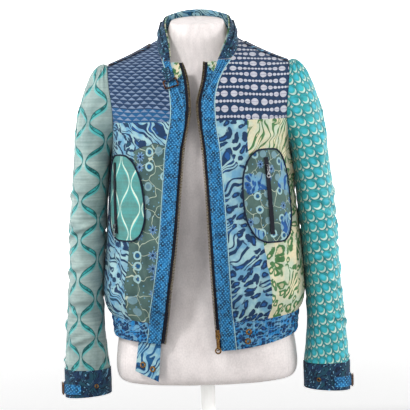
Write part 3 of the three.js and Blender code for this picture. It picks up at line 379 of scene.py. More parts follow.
def scallop_print(name):
    """Bowls in staggered rows, each with a pale crescent, and a small star between four of them."""
    s = Surface(name, roughness=0.58, sheen=0.08)
    pitch = 24.5
    u, v = s.turned(9, u=s.u * 1.78 + (s.noise(70, detail=1) - 0.5) * 16, v=s.v * 1.22)
    across, up = centred(u, pitch), centred(v, pitch)
    star = (abs(across).power(0.62) + abs(up).power(0.62)).below(2.7, 0.6)
    heart = length(across, up).below(1.8, 1.2)
    across, up = centred(u, pitch, 0.5), centred(v, pitch, 0.5)
    moon = length(across - 0.9, up + 1.8).below(9.2, 1.2) * length(across + 0.8, up - 2.2).above(9.1, 1.4)
    edge = length(across - 2.0, up + 3.0).below(11.0, 1.2) * length(across - 0.9, up + 1.8).above(9.4, 1.0)
    bowl = length(across + 3.0, up - 3.0).below(6.4, 5.0)
    print_ = s.mix(s.noise(16, detail=2).above(0.5, 0.5), "teal", "turquoise")
    print_ = s.mix(length(across - 3.0, up + 3.0).above(9.0, 6.0) * 0.3, print_, "dark_teal")
    print_ = s.mix(bowl * s.noise(18).above(0.42, 0.3), print_, "aqua")
    print_ = s.mix(edge * 0.7, print_, "dark_teal")
    print_ = s.mix(moon * (s.noise(11).above(0.4, 0.4) * 0.35 + 0.55), print_, "frost")
    print_ = s.mix(star * 0.75, print_, "frost")
    print_ = s.mix(heart * 0.6, print_, "rose_beige")
    return s.finish(print_, moon)


def triangle_print(name):
    """Hatched triangles in staggered rows, on a lighter ground low down."""
    s = Surface(name)
    width, pitch = 16.0, 8.4
    v = s.v + s.u * 0.06 + s.u.sine(75) * 1.2
    row = (v / pitch).whole()
    across = abs((s.u / width + (row * 0.5).fraction()).fraction() - 0.5)
    up = (v / pitch).fraction()
    triangle = ((up - 0.12) * 1.5 + across * 2.1).below(0.98, 0.12) * up.above(0.1, 0.06)
    hatch = (s.u + v * 0.5).sine(1.6).above(0.2, 0.8) * 0.28
    ground = s.mix(v.below(662, 2.0), "navy", "blue")
    ground = s.mix(up.below(0.1, 0.05) * 0.6, ground, "deep_navy")
    print_ = s.mix(triangle * (s.noise(26).above(0.35, 0.5) * 0.5 + 0.5), ground, "lavender")
    print_ = s.mix(triangle * hatch, print_, "navy")
    return s.finish(print_, triangle, 0.35)


def disc_print(name):
    """Rows of discs that swell and shrink along the row."""
    s = Surface(name)
    pitch, wave, swell = 15.6, 112.0, 0.52
    v = s.v - s.u.sine(190) * 2.5
    row = (v / pitch).whole()
    along = s.u + (row * 0.5).fraction() * wave
    count = along + along.sine(wave) * (swell * wave / (2 * math.pi))
    local = along.cosine(wave) * swell + 1.0
    cell = 9.4
    across = centred(count, cell) / local
    up = centred(v, pitch)
    radius = (local.power(-1.0) * cell * 0.42).least(7.0)
    disc = (length(across, up) - radius).below(0, 0.6)
    strokes = up.near(0, 0.45, 0.4) * radius.above(4.0, 1.0) + s.v.sine(2.3).above(0.6, 0.4) * 0.25
    print_ = s.mix(s.noise(7, detail=3).above(0.55, 0.2) * 0.4, "navy", "deep_navy")
    print_ = s.mix(disc * 0.95, print_, "shell")
    print_ = s.mix(disc * strokes * 0.7, print_, "mauve")
    return s.finish(print_, disc)


def dotted_print(name):
    """Small dots in slanted rows on a mottled blue ground."""
    s = Surface(name)
    u, v = s.drifted(9, 2.2)
    u, v = s.turned(38, u=u, v=v)
    dot = length(centred(u, 5.2), centred(v, 5.2)).below(1.25, 0.9)
    print_ = s.mix(s.noise(15, detail=2).above(0.52, 0.3) * 0.8, "blue", "bright_blue")
    print_ = s.mix(s.noise(8, detail=3, distortion=0.6).above(0.55, 0.12) * 0.8, print_, "deep_navy")
    print_ = s.mix(dot * (s.noise(12).above(0.42, 0.3) * 0.6 + 0.35), print_, "dot")
    return s.finish(print_, dot)


def animal_colours(s, ground, tint, spot, heart, size, slant, stripes):
    """Uneven spots with a paler heart that run into long tapering stripes."""
    pushed = s.drifted(size * 3.2, size * 2.4)
    u, v = s.turned(slant, *pushed)
    across, up, own = s.scattered(size, u=u * 0.62, v=v, randomness=0.75)
    far = length(across, up) + (s.noise(size * 0.5) - 0.5) * size * 0.3
    spots = (far - own * size * 0.1).below(size * 0.36, size * 0.05)
    hearts = far.below(size * 0.17, size * 0.06) * own.above(0.35, 0.05)
    bend = (s.noise(size * 2.6, u=u * 0.5, v=v, detail=1) - 0.5) * size * 3.4
    taper = (s.noise(size * 1.2, u=u * 0.4, v=v, detail=1) - 0.5) * 2.6
    waves = ((v + bend).sine(size * 0.92) + taper).above(0.25, 0.25)
    inner = ((v + bend).sine(size * 0.92) + taper).above(0.95, 0.2) * s.noise(size * 2).above(0.5, 0.06)
    where = s.noise(size * 5.5, detail=0).above(stripes, 0.03)
    marks = spots + (waves - spots) * where
    cores = hearts + (inner - hearts) * where
    print_ = s.mix(s.noise(size * 2.2, detail=2).above(0.5, 0.25), ground, tint)
    print_ = s.mix(marks, print_, spot)
    print_ = s.mix(cores * marks, print_, heart)
    return print_, marks


def animal_print(name, ground, tint, spot, heart, size, slant, stripes):
    s = Surface(name)
    print_, marks = animal_colours(s, ground, tint, spot, heart, size, slant, stripes)
    return s.finish(print_, marks)


def cream_print(name):
    """Long flames high up, and uneven rings below."""
    s = Surface(name)
    flames = s.v.above(560, 60) * -0.45 + 0.75
    print_, marks = animal_colours(s, "cream", "linen", "leaf", "cream", 14.0, 60, flames)
    return s.finish(print_, marks)


def facing_print(name):
    """Cream and green at the sides of the neck, pale blue round its back."""
    s = Surface(name)
    green, marks = animal_colours(s, "cream", "mint", "leaf", "pale_leaf", 9.0, 20, 0.6)
    behind, _ = animal_colours(s, "sky", "mint", "dark_teal", "blue", 8.0, 30, 0.5)
    return s.finish(s.mix(abs(s.u).above(140, 1.0), green, behind), marks)


def front_facing_print(name):
    """The zip bands' print, with a corner of the neck's cream and green at the top."""
    s = Surface(name)
    green, marks = animal_colours(s, "cream", "mint", "leaf", "pale_leaf", 9.0, 20, 0.6)
    speck = s.noise(3.4, detail=2).above(0.56, 0.1)
    blue = s.mix(s.noise(9, detail=3).above(0.5, 0.2), "blue", "deep_navy")
    blue = s.mix(speck * 0.6, blue, "dot")
    corner = (s.v + abs(s.u) * 0.9).above(FACING_CORNER, 0.8)
    return s.finish(s.mix(corner, blue, green), marks * corner)


def garden_colours(s, size=30.0):
    """Grey-green ground with a net of fine pale curves, rings, plain discs and a few small flowers."""
    u, v = s.drifted(26, 26)
    net = s.veins(size * 1.15, u=u, v=v).below(0.6, 0.6)
    across, up, own = s.scattered(size, randomness=0.75)
    far = length(across, up)
    plain = far.below(size * 0.27, 0.7) * own.below(0.36, 0.02)
    ring = abs(far - size * 0.23).below(1.7, 0.6) * own.near(0.55, 0.19, 0.02)
    hub = far.below(size * 0.13, 0.6) * own.near(0.55, 0.19, 0.02)
    angle = up.math("ARCTAN2", across)
    petals = abs((angle * 4.0 + own * 6.0).math("SINE")) * (size * 0.2) + size * 0.12
    flower = (far - petals).below(0, 0.8) * own.above(0.74, 0.02)
    stripe = (angle * 16.0).math("SINE").above(0.2, 0.4) * far.above(size * 0.1, 0.8)
    heart = far.below(size * 0.08, 0.8) * own.above(0.74, 0.02)
    seeds = s.scattered(11, randomness=1.0)
    seed = length(seeds[0], seeds[1]).below(1.4, 0.5) * seeds[2].above(0.62, 0.02)
    print_ = s.mix(s.noise(50, detail=2).above(0.5, 0.3) * 0.8, "sage", "dark_sage")
    print_ = s.mix(seed * 0.8, print_, "sky")
    print_ = s.mix(net * 0.85, print_, "linen")
    print_ = s.mix(plain * 0.75, print_, "fog")
    print_ = s.mix(ring * 0.95, print_, "mint")
    print_ = s.mix(hub, print_, "blue")
    print_ = s.mix(flower, print_, "royal")
    print_ = s.mix(flower * stripe * 0.7, print_, "mint")
    print_ = s.mix(heart, print_, "deep_navy")
    return print_, net.most(ring).most(flower)


def garden_print(name):
    """The garden print, with a strip of the tiger print joined on under the yoke."""
    s = Surface(name)
    garden, net = garden_colours(s)
    tiger, marks = animal_colours(s, "mint", "sky", "navy", "royal", 13.0, -40, 0.35)
    over = s.v + s.noise(60) * 30 - STRIP_JOIN
    strip = over.above(0, 0.6)
    join = abs(over).below(0.9, 0.5)
    print_ = s.mix(strip, garden, tiger)
    print_ = s.mix(join * 0.7, print_, "deep_navy")
    return s.finish(print_, net + (marks - net) * strip - join * 2.0)


def ring_print(name):
    """A closer cut of the garden print with more blue in it."""
    s = Surface(name)
    garden, net = garden_colours(s, size=26.0)
    tiger, marks = animal_colours(s, "fog", "sky", "royal", "navy", 11.0, 80, 0.3)
    patch = s.noise(42, detail=1).above(0.6, 0.02)
    return s.finish(s.mix(patch, garden, tiger), net)


def plain_cloth(name, shade):
    s = Surface(name, roughness=0.9)
    fleck = s.noise(3, detail=4).above(0.5, 0.5) * 0.12
    base = s.mix(fleck, shade, tuple(c * 0.7 for c in tone(shade)[:3]) + (1.0,))
    return s.finish(base, s.noise(1.2))


def jersey(name):
    """The form's smooth knitted cover, with its two side seams."""
    s = Surface(name, roughness=0.8, sheen=0.1)
    side, shoulder = 205, 680
    seam = abs(abs(s.u) - side).below(0.7, 0.5) * s.v.below(shoulder, 1.0)
    rib = s.u.sine(1.4) * 0.4
    print_ = s.mix(s.noise(80, detail=2).above(0.5, 0.6) * 0.4, "form", "form_shade")
    print_ = s.mix(seam * 0.5, print_, "form_shade")
    return s.finish(print_, seam * -3.0 + rib)


def grained(name, scale, detail):
    """A hard material with its tree, its shader and a fine grain all over it."""
    material = bpy.data.materials.new(name)
    material.use_nodes = True
    tree = material.node_tree
    where = tree.nodes.new("ShaderNodeTexCoord")
    grain = tree.nodes.new("ShaderNodeTexNoise")
    grain.inputs["Scale"].default_value = scale
    grain.inputs["Detail"].default_value = detail
    tree.links.new(where.outputs["Object"], grain.inputs["Vector"])
    return material, tree, tree.nodes["Principled BSDF"], Field(tree, grain.outputs[0])


def metal(name, shade, roughness, wear):
    material, tree, shader, grain = grained(name, 420, 4)
    shader.inputs["Metallic"].default_value = 0.9
    worn = tree.nodes.new("ShaderNodeMix")
    worn.data_type = "RGBA"
    worn.inputs[6].default_value = paint(shade) + (1.0,)
    worn.inputs[7].default_value = paint(wear) + (1.0,)
    tree.links.new(grain.above(0.55, 0.2).socket, worn.inputs[0])
    tree.links.new(worn.outputs[2], shader.inputs["Base Color"])
    tree.links.new((grain * 0.25 + (roughness - 0.12)).socket, shader.inputs["Roughness"])
    return material


def stand_paint(name):
    material, tree, shader, grain = grained(name, 60, 2)
    shader.inputs["Base Color"].default_value = tone("stand")
    tree.links.new((grain * 0.2 + 0.3).socket, shader.inputs["Roughness"])
    return material


# Maker and settings of each finish. Ogee prints: ground, shade, line, glow, cell, thin and thick in mm.
# Animal prints: ground, tint, spot, heart, size in mm, slant in degrees, and how rare stripes are, 0 to 1.
# Metals: shade, roughness and worn shade.
FINISH_TABLE = {
    "ogee": (ogee_print, "pale_mint", "grey_mint", "deep_teal", "turquoise", (54.0, 76.0), 0.6, 4.3),
    "pocket ogee": (ogee_print, "sea", "sage", "frost", "turquoise", (50.0, 96.0), 0.7, 2.0),
    "scallop": (scallop_print,),
    "triangles": (triangle_print,),
    "discs": (disc_print,),
    "dots": (dotted_print,),
    "garden": (garden_print,),
    "rings": (ring_print,),
    "tiger": (animal_print, "mint", "sky", "navy", "dark_teal", 9.5, -38, 0.34),
    "blue leopard": (animal_print, "mint", "sky", "navy", "royal", 13.0, 35, 0.55),
    "cream leopard": (cream_print,),
    "waist": (animal_print, "sky", "bright_blue", "navy", "royal", 6.5, 20, 0.62),
    "tab tiger": (animal_print, "sky", "mint", "blue", "navy", 11.0, 50, 0.3),
    "small navy": (animal_print, "navy", "dark_teal", "deep_navy", "sky", 5.0, 30, 0.6),
    "cuff navy": (animal_print, "navy", "dark_teal", "deep_navy", "sky", 6.0, 60, 0.5),
    "facing": (facing_print,),
    "front facing": (front_facing_print,),
    "epaulette": (animal_print, "umber", "deep_navy", "navy", "sky", 8.0, 0, 0.5),
    "tape": (plain_cloth, "tape"),
    "piping": (plain_cloth, "mint"),
    "dark piping": (plain_cloth, "deep_navy"),
    "thread": (plain_cloth, "sky"),
    "dark thread": (plain_cloth, "navy"),
    "jersey": (jersey,),
    "brass": (metal, "5a4026", 0.4, "a07c48"),
    "gunmetal": (metal, "2c2522", 0.42, "8a5a38"),
    "steel": (metal, "46484c", 0.34, "a3a6aa"),
    "teeth": (metal, "4a4034", 0.5, "8d7f62"),
    "stand paint": (stand_paint,),
}
FINISHES = {}


def finish_named(name):
    """A material from the table, made once."""
    if name not in FINISHES:
        maker, *settings = FINISH_TABLE[name]
        FINISHES[name] = maker(name, *settings)
    return FINISHES[name]


# Places on the cloth


def curve_through(rows):
    """A function through rows of (height in mm, value in mm)."""
    heights, values = zip(*sorted(rows))
    return lambda z: np.interp(z, heights, values)


# Sleeves' middle line: distance from the jacket's middle, and place in depth
SLEEVE_MIDDLE_X = curve_through(
    [(110, 235.5), (240, 236), (400, 228), (520, 219.5), (560, 213), (650, 202), (755, 186)]
)
SLEEVE_MIDDLE_Y = curve_through([(110, -3), (240, -4.5), (400, -4), (560, -2), (755, 0)])


# The body's half width and half depth, the height at which its cloth begins to turn up over the shoulders
# and the rise over which it turns, and the height from which a sleeve's does, in metres
BODY_WIDE = 0.175
BODY_DEEP = 0.14
CHEST = 0.6
SHOULDER_RISE = 0.15
ARMPIT = 0.69


def body_outward(points):
    """Way out of the body's cloth: level below the chest, turning up over the shoulders."""
    x, y, z = points.T
    rise = np.maximum(0, z - CHEST)
    way = np.stack([x / BODY_WIDE**2, y / BODY_DEEP**2, rise / SHOULDER_RISE**2], axis=1)
    return way / np.linalg.norm(way, axis=1)[:, None]


def sleeve_outward(points):
    """Way out from a sleeve's middle line, which bends towards the shoulder above the armpit."""
    z = points[:, 2] / MM
    side = np.sign(points[:, 0])
    dx = points[:, 0] - side * SLEEVE_MIDDLE_X(z) * MM
    dy = points[:, 1] - SLEEVE_MIDDLE_Y(z) * MM
    dz = np.maximum(0, points[:, 2] - ARMPIT) * 0.9
    way = np.stack([dx, dy, dz], axis=1)
    return way / np.maximum(1e-6, np.linalg.norm(way, axis=1))[:, None]


def body_place(p):
    """Distance round the body and height, in mm."""
    return math.atan2(p.x, -p.y) * BODY_ROUND, p.z / MM


# Height, and place up along the cloth, on the front yokes and on the back one
YOKE_LENGTH = curve_through([(640, 640), (690, 694), (730, 744), (757, 786), (800, 866), (810, 884)])
BACK_YOKE_LENGTH = curve_through([(680, 680), (740, 744), (780, 800), (810, 884)])


def yoke_place(p):
    """Across, and up along the cloth, so that the print's rows stay level."""
    length_up = YOKE_LENGTH if p.y < 0.004 else BACK_YOKE_LENGTH
    return p.x / MM, float(length_up(p.z / MM))


def sleeve_place(p):
    side = 1 if p.x > 0 else -1
    z = p.z / MM
    angle = math.atan2(p.y - float(SLEEVE_MIDDLE_Y(z)) * MM, side * p.x - float(SLEEVE_MIDDLE_X(z)) * MM)
    return side * angle * SLEEVE_ROUND, z


# Middle of the neck, behind the jacket's middle
COLLAR_MIDDLE = 0.01


def collar_place(p):
    return math.atan2(p.x, -(p.y - COLLAR_MIDDLE)) * COLLAR_ROUND, p.z / MM


# Round places wrap behind, at these turns of the first coordinate; the others never come round
NO_WRAP = 1e6
WRAPS = {
    body_place: 2 * math.pi * BODY_ROUND,
    sleeve_place: 2 * math.pi * SLEEVE_ROUND,
    collar_place: 2 * math.pi * COLLAR_ROUND,
}


def lay_cloth_map(mesh, place):
    """Writes the place on the cloth of each face corner, unbroken within each face."""
    layer = mesh.uv_layers.new(name="cloth")
    wrap = WRAPS.get(place)
    spots = [place(v.co) for v in mesh.vertices]
    for face in mesh.polygons:
        first = spots[face.vertices[0]][0]
        for loop in face.loop_indices:
            u, v = spots[mesh.loops[loop].vertex_index]
            if wrap and u - first > wrap / 2:
                u -= wrap
            elif wrap and first - u > wrap / 2:
                u += wrap
            layer.data[loop].uv = (u, v)


# Soft creases: place on the cloth, half length, slant of the line in degrees, half width and height, in mm
Crease = namedtuple("Crease", "u v long slant wide deep")

BODY_CREASES = [
    Crease(262, 415, 85, 90, 34, 2.6),
    Crease(-262, 415, 85, 90, 34, 2.6),
    Crease(262, 535, 50, 90, 34, 2.2),
    Crease(-262, 535, 50, 90, 34, 2.2),
    Crease(105, 345, 46, 68, 5.4, 2.6),
    Crease(150, 372, 60, 80, 6.8, -2.8),
    Crease(88, 330, 34, 95, 4.1, -2.0),
    Crease(205, 400, 70, 74, 7.5, 2.8),
    Crease(62, 345, 50, 98, 6.1, 1.8),
    Crease(178, 520, 52, 40, 6.8, 2.6),
    Crease(150, 598, 36, 22, 5.4, -2.2),
    Crease(232, 540, 50, 118, 6.1, -2.4),
    Crease(-112, 350, 52, 105, 6.1, 2.6),
    Crease(-140, 332, 38, 86, 4.8, -2.2),
    Crease(-168, 366, 62, 98, 6.8, 2.6),
    Crease(-96, 398, 40, 120, 6.1, -1.8),
    Crease(-208, 410, 70, 104, 7.5, -2.6),
    Crease(-180, 548, 46, 140, 6.1, 2.4),
    Crease(-150, 600, 34, 155, 5.4, -2.0),
    Crease(-62, 520, 60, 96, 6.8, 1.2),
    Crease(268, 352, 48, 84, 6.1, 2.8),
    Crease(310, 380, 64, 96, 6.8, -2.6),
    Crease(356, 340, 42, 78, 5.4, 2.4),
    Crease(402, 366, 58, 100, 6.8, 2.8),
    Crease(448, 344, 44, 88, 5.4, -2.6),
    Crease(492, 390, 60, 76, 6.8, 2.4),
    Crease(540, 352, 46, 102, 6.1, -2.2),
    Crease(590, 380, 56, 92, 6.8, 2.8),
    Crease(636, 340, 40, 84, 5.4, 2.4),
    Crease(684, 372, 58, 97, 6.8, -2.6),
    Crease(730, 350, 46, 88, 6.1, 2.4),
    Crease(420, 560, 60, 58, 8.2, 2.0),
    Crease(610, 570, 64, 122, 8.2, 2.2),
]
SLEEVE_CREASES = [
    Crease(120, 415, 85, 90, 32, 1.2),
    Crease(120, 535, 50, 90, 32, 1.2),
    Crease(-48, 560, 34, 64, 4.6, 2.4),
    Crease(48, 540, 30, 120, 4.4, 2.2),
    Crease(-20, 436, 26, -40, 4.0, 2.0),
    Crease(-50, 376, 26, 12, 4.0, 2.0),
    Crease(-30, 262, 24, 34, 4.0, 1.8),
    Crease(-12, 172, 26, -12, 4.2, 1.8),
    Crease(-8, 640, 46, 84, 4.8, 2.2),
    Crease(24, 612, 60, 96, 5.4, -2.2),
    Crease(-44, 590, 54, 70, 5.4, 2.4),
    Crease(6, 500, 40, 18, 5.4, 2.4),
    Crease(-36, 462, 44, -22, 5.4, -2.6),
    Crease(30, 430, 42, 28, 4.8, 2.6),
    Crease(-10, 396, 38, -16, 4.8, -2.2),
    Crease(-58, 404, 34, 30, 4.8, 2.6),
    Crease(12, 352, 44, 22, 5.4, 2.4),
    Crease(-40, 318, 40, -28, 4.8, 2.2),
    Crease(26, 280, 38, 16, 5.4, -2.2),
    Crease(-22, 246, 40, -20, 4.8, 2.6),
    Crease(34, 214, 34, 24, 4.8, 2.0),
    Crease(-60, 206, 30, 60, 4.1, 2.0),
    Crease(96, 420, 44, 20, 6.1, -2.2),
    Crease(100, 300, 40, -24, 6.1, -2.0),
    Crease(-100, 350, 42, 24, 5.4, -2.0),
]


# Bow of a crease's line, the hollows along its sides as shares of its depth and half width, and how far
# a sleeve's creases also move up when they are shifted round it
CREASE_BOW = 0.0022
HOLLOW_DEPTH = 0.45
HOLLOW_PLACE = 1.9
SHIFT_UP = 0.35


def crease_depth(spots, creases, period, shift):
    """Height in mm of all creases at each place."""
    total = np.zeros(len(spots))
    for crease in creases:
        du = spots[:, 0] - crease.u - shift
        du -= period * np.round(du / period)
        dv = spots[:, 1] - crease.v - SHIFT_UP * shift
        angle = math.radians(crease.slant)
        along = du * math.cos(angle) + dv * math.sin(angle)
        across = dv * math.cos(angle) - du * math.sin(angle) + CREASE_BOW * along**2
        ridge = np.exp(-((across / crease.wide) ** 2))
        beside = (np.abs(across) - HOLLOW_PLACE * crease.wide) / crease.wide
        hollow = HOLLOW_DEPTH * np.exp(-(beside**2))
        total += crease.deep * (ridge - hollow) * np.exp(-((along / crease.long) ** 2))
    return total


# Cloth pieces from their solids


def welded(node):
    """The node's solid with whole vertices, in quads where its triangles pair up."""
    bm = bmesh.new()
    bm.from_mesh(NODES[node].data)
    bmesh.ops.remove_doubles(bm, verts=bm.verts, dist=4e-6)
    bmesh.ops.join_triangles(bm, faces=bm.faces, angle_face_threshold=0.6, angle_shape_threshold=2.6)
    return bm


def as_object(name, mesh):
    piece = bpy.data.objects.new(name, mesh)
    bpy.context.scene.collection.objects.link(piece)
    return piece


def mesh_from(bm, name):
    mesh = bpy.data.meshes.new(name)
    bm.to_mesh(mesh)
    bm.free()
    return mesh


def sharp(edge):
    return len(edge.link_faces) != 2 or edge.calc_face_angle(0.0) > SHARP


def rounded(bm, levels):
    """One or more rounds of subdivision that keep the cut edges sharp."""
    crease = bm.edges.layers.float.get("crease_edge") or bm.edges.layers.float.new("crease_edge")
    for edge in bm.edges:
        edge[crease] = 1.0 if sharp(edge) else 0.0
    mesh = mesh_from(bm, "work")
    piece = as_object("work", mesh)
    smoother = piece.modifiers.new("round", "SUBSURF")
    smoother.levels = levels
    depsgraph = bpy.context.evaluated_depsgraph_get()
    fine = bpy.data.meshes.new_from_object(piece.evaluated_get(depsgraph))
    bpy.data.objects.remove(piece)
    out = bmesh.new()
    out.from_mesh(fine)
    bpy.data.meshes.remove(fine)
    bpy.data.meshes.remove(mesh)
    return out


def sliced(bm, cell):
    """Cuts across every few millimetres of height."""
    heights = [v.co.z for v in bm.verts]
    low = min(heights)
    for i in range(1, int((max(heights) - low) / cell)):
        level = low + i * cell
        geometry = bm.verts[:] + bm.edges[:] + bm.faces[:]
        bmesh.ops.bisect_plane(bm, geom=geometry, plane_co=(0, 0, level), plane_no=(0, 0, 1), dist=4e-4)
    return bm


def fine_mesh(node, slices=True, levels=1):
    bm = rounded(welded(node), 1)
    if slices:
        bm = sliced(bm, sizes().cell)
    if levels:
        bm = rounded(bm, levels)
    return bm


# Width in mm of the strips in which a piece's lowest and highest places are found
STRIP = 12


def ends_by_turn(spots):
    """A piece's lowest and highest place above and below each of its points."""
    u, v = spots[:, 0], spots[:, 1]
    strip = np.round(u / STRIP).astype(int)
    strips = sorted(set(strip))
    middles = np.array(strips) * STRIP
    bottom = np.interp(u, middles, [v[strip == k].min() for k in strips])
    top = np.interp(u, middles, [v[strip == k].max() for k in strips])
    return bottom, top


def uneven(across, up, layer):
    """Smooth unevenness from -1 to 1 at each pair of places; another layer gives another pattern."""
    return np.array([noise.noise(Vector((a, b, layer))) for a, b in zip(across, up)])


def waves(u, pitch, drift):
    return np.sin(2 * math.pi * u / pitch + drift)


def swell_from(edge, rise, reach):
    """0 at an edge, up to 1 within a short rise, and back to 0 over the reach."""
    return np.clip(edge / rise, 0, 1) * np.exp(-((edge / reach) ** 2))


# Gathers: each takes the cloth's points in metres and their places on the cloth in mm


def ruched(points, spots):
    """Height in mm of the gathers between the waistband's three rows of elastic."""
    bottom, top = ends_by_turn(spots)
    u = spots[:, 0]
    share = np.clip((spots[:, 1] - bottom) / (top - bottom), 0, 1)
    rows = np.abs(np.sin(math.pi * 3 * share)) ** 0.6
    return rows * (0.9 + 1.3 * waves(u, 7.2, 3.4 * uneven(u / 24, share * 2.2, 5.3))) - 0.6


def bloused(points, spots):
    """Height in mm of the body's pleats where it is gathered into the waistband."""
    u = spots[:, 0]
    up = spots[:, 1] - ends_by_turn(spots)[0]
    reach = 26 + 22 * uneven(u / 17, np.zeros(len(u)), 6.1)
    pleats = waves(u, 15, 4 * uneven(u / 40, up / 60, 1.7))
    return 1.7 * swell_from(up, 7, np.maximum(8, reach)) * pleats


# Height where a sleeve cap's pleats begin and over which they grow, how fast pleats rise from a seam and
# how far they reach from the cap's seam and from the cuff, in metres
CAP_FOOT = 0.70
CAP_FADE = 0.03
PLEAT_RISE = 0.006
CAP_REACH = 0.034
WRIST_REACH = 0.03


def gathered(points, spots):
    """Height in mm of a sleeve's pleats at its cap and over its cuff."""
    u = spots[:, 0]
    z = points[:, 2]
    drift = uneven(u / 30, z * 40, 2.2)
    out = np.abs(points[:, 0]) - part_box("yoke_left")[1][0]
    high_up = np.clip((z - CAP_FOOT) / CAP_FADE, 0, 1)
    cap = swell_from(out, PLEAT_RISE, CAP_REACH) * high_up
    wrist = swell_from(z - z.min(), PLEAT_RISE, WRIST_REACH)
    return cap * 1.9 * waves(u, 9.5, 2.5 * drift) + wrist * 0.9 * waves(u, 13, 2 * drift)


def shape_cloth(mesh, place, outward, creases=(), shift=0.0, crumple=1.0, gathers=None):
    """Moves the cloth's points out and in by its creases and by fine unevenness."""
    points = np.empty(len(mesh.vertices) * 3)
    mesh.vertices.foreach_get("co", points)
    points = points.reshape(-1, 3)
    spots = np.array([place(Vector(p)) for p in points])
    u, v = spots[:, 0], spots[:, 1]
    height = crease_depth(spots, creases, WRAPS.get(place, NO_WRAP), shift) * sizes().fold
    grain = uneven(u / 26, v / 30, 3.1) * 0.9 + uneven(u / 8, v / 11, 9.7) * 0.5
    height += grain * sizes().crumple / MM * crumple
    if gathers:
        height += gathers(points, spots)
    points += outward(points) * height[:, None] * MM
    mesh.vertices.foreach_set("co", points.ravel())
    mesh.update()


def refinish(mesh, finish):
    mesh.materials.clear()
    mesh.materials.append(finish_named(finish))


def shade_smooth(mesh, smooth=True):
    mesh.polygons.foreach_set("use_smooth", [smooth] * len(mesh.polygons))


def crisp_edges(mesh):
    """Marks the cut edges sharp, so that smooth shading stops there."""
    bm = bmesh.new()
    bm.from_mesh(mesh)
    for edge in bm.edges:
        edge.smooth = not sharp(edge)
    bm.to_mesh(mesh)
    bm.free()


# Pieces of cloth by the node that they stand for
PIECES = {}


def make_piece(node, finish, place, outward=None, slices=True, levels=1, **shape):
    """Makes the piece of cloth that stands for a node, and lays its map of places on the cloth."""
    mesh = mesh_from(fine_mesh(node, slices, levels), node + "_cloth")
    if outward is not None:
        shape_cloth(mesh, place, outward, **shape)
    lay_cloth_map(mesh, place)
    shade_smooth(mesh)
    refinish(mesh, finish)
    crisp_edges(mesh)
    piece = as_object(node + "_cloth", mesh)
    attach(piece, BODY)
    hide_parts(node)
    PIECES[node] = piece


# Paths along the pieces' edges


def rows_by_height(node, size):
    """A node's corners from the bottom up, in groups of one row."""
    corners = {tuple(round(c, 6) for c in v.co) for v in NODES[node].data.vertices}
    ordered = sorted(corners, key=lambda p: p[2])
    return [ordered[i : i + size] for i in range(0, len(ordered) - size + 1, size)]


def rail(node, size, score):
    """The path of the corners that score highest in each row."""
    return [Vector(max(row, key=score)) for row in rows_by_height(node, size)]


# Corners in each row of a zip tape's solid and a zip band's
TAPE_ROW = 4
BAND_ROW = 8


def band_edge(name, side):
    """The zip band's edge on a side: 1 towards the wearer's left, -1 towards the right."""
    return rail("zip_band_" + name, BAND_ROW, lambda p: side * p[0] - 0.6 * p[1])


def spaced(path, pitch):
    """Points at an even pitch along a path, with the way along it."""
    spots = []
    carry = 0.0
    for a, b in zip(path, path[1:]):
        step = b - a
        far = step.length
        at = carry
        while at < far:
            spots.append((a + step * (at / far), step.normalized()))
            at += pitch
        carry = at - far
    return spots


def smooth_path(path, count):
    """Catmull-Rom points between the path's own."""
    out = []
    last = len(path) - 1
    for i in range(last):
        p0, p1, p2, p3 = path[max(i - 1, 0)], path[i], path[i + 1], path[min(i + 2, last)]
        for k in range(count):
            t = k / count
            a = (p1 * 2) + (p2 - p0) * t
            b = (p0 * 2 - p1 * 5 + p2 * 4 - p3) * t * t
            c = (p1 * 3 - p0 - p2 * 3 + p3) * t * t * t
            out.append((a + b + c) * 0.5)
    out.append(path[-1])
    return out


# The pieces' faces, ready to be met by a ray
TREES = {}

# Where a ray starts outside the cloth and how long it is, and a distance from the jacket's middle that is
# outside all of it, in metres
RAY_START = 0.02
RAY_LENGTH = 0.05
OUTSIDE = 0.4


def tree_of(piece):
    if piece.name not in TREES:
        corners = [v.co.copy() for v in piece.data.vertices]
        TREES[piece.name] = BVHTree.FromPolygons(corners, [tuple(f.vertices) for f in piece.data.polygons])
    return TREES[piece.name]


def outer_side(piece, point, outward):
    """The cloth's outer side next to a point, met from outside."""
    hit = tree_of(piece).ray_cast(point + outward * RAY_START, -outward, RAY_LENGTH)[0]
    return hit if hit is not None else tree_of(piece).find_nearest(point)[0]


def way_out(point):
    return Vector(body_outward(np.array([point[:]]))[0])


def around(piece, level, start, stop, pitch=4.0):
    """The cloth's outer side at a height, from one turn round the body to another, in mm as in body_place."""
    path = []
    for i in range(int((stop - start) / pitch) + 1):
        turn = (start + i * pitch) / BODY_ROUND
        way = Vector((math.sin(turn), -math.cos(turn), 0))
        hit = tree_of(piece).ray_cast(way * OUTSIDE + Vector((0, 0, level)), -way, OUTSIDE)[0]
        if hit is not None:
            path.append(hit)
    return path


PIPING_SIDES = 8

# A zip tooth's length across the tape, width along it and thickness, and how far its middle lies past the
# tape's edge and in from its outer side, in metres
TOOTH_SIZE = (0.0042, 0.0016, 0.0024)
TOOTH_ACROSS = 0.0006
TOOTH_SUNK = 0.0004


# Radius of the piping along the zip bands and round the pockets, and how far each lies out, in metres
BAND_PIPING = (0.0009, 0.0003)
POCKET_PIPING = (0.0017, 0.0004)


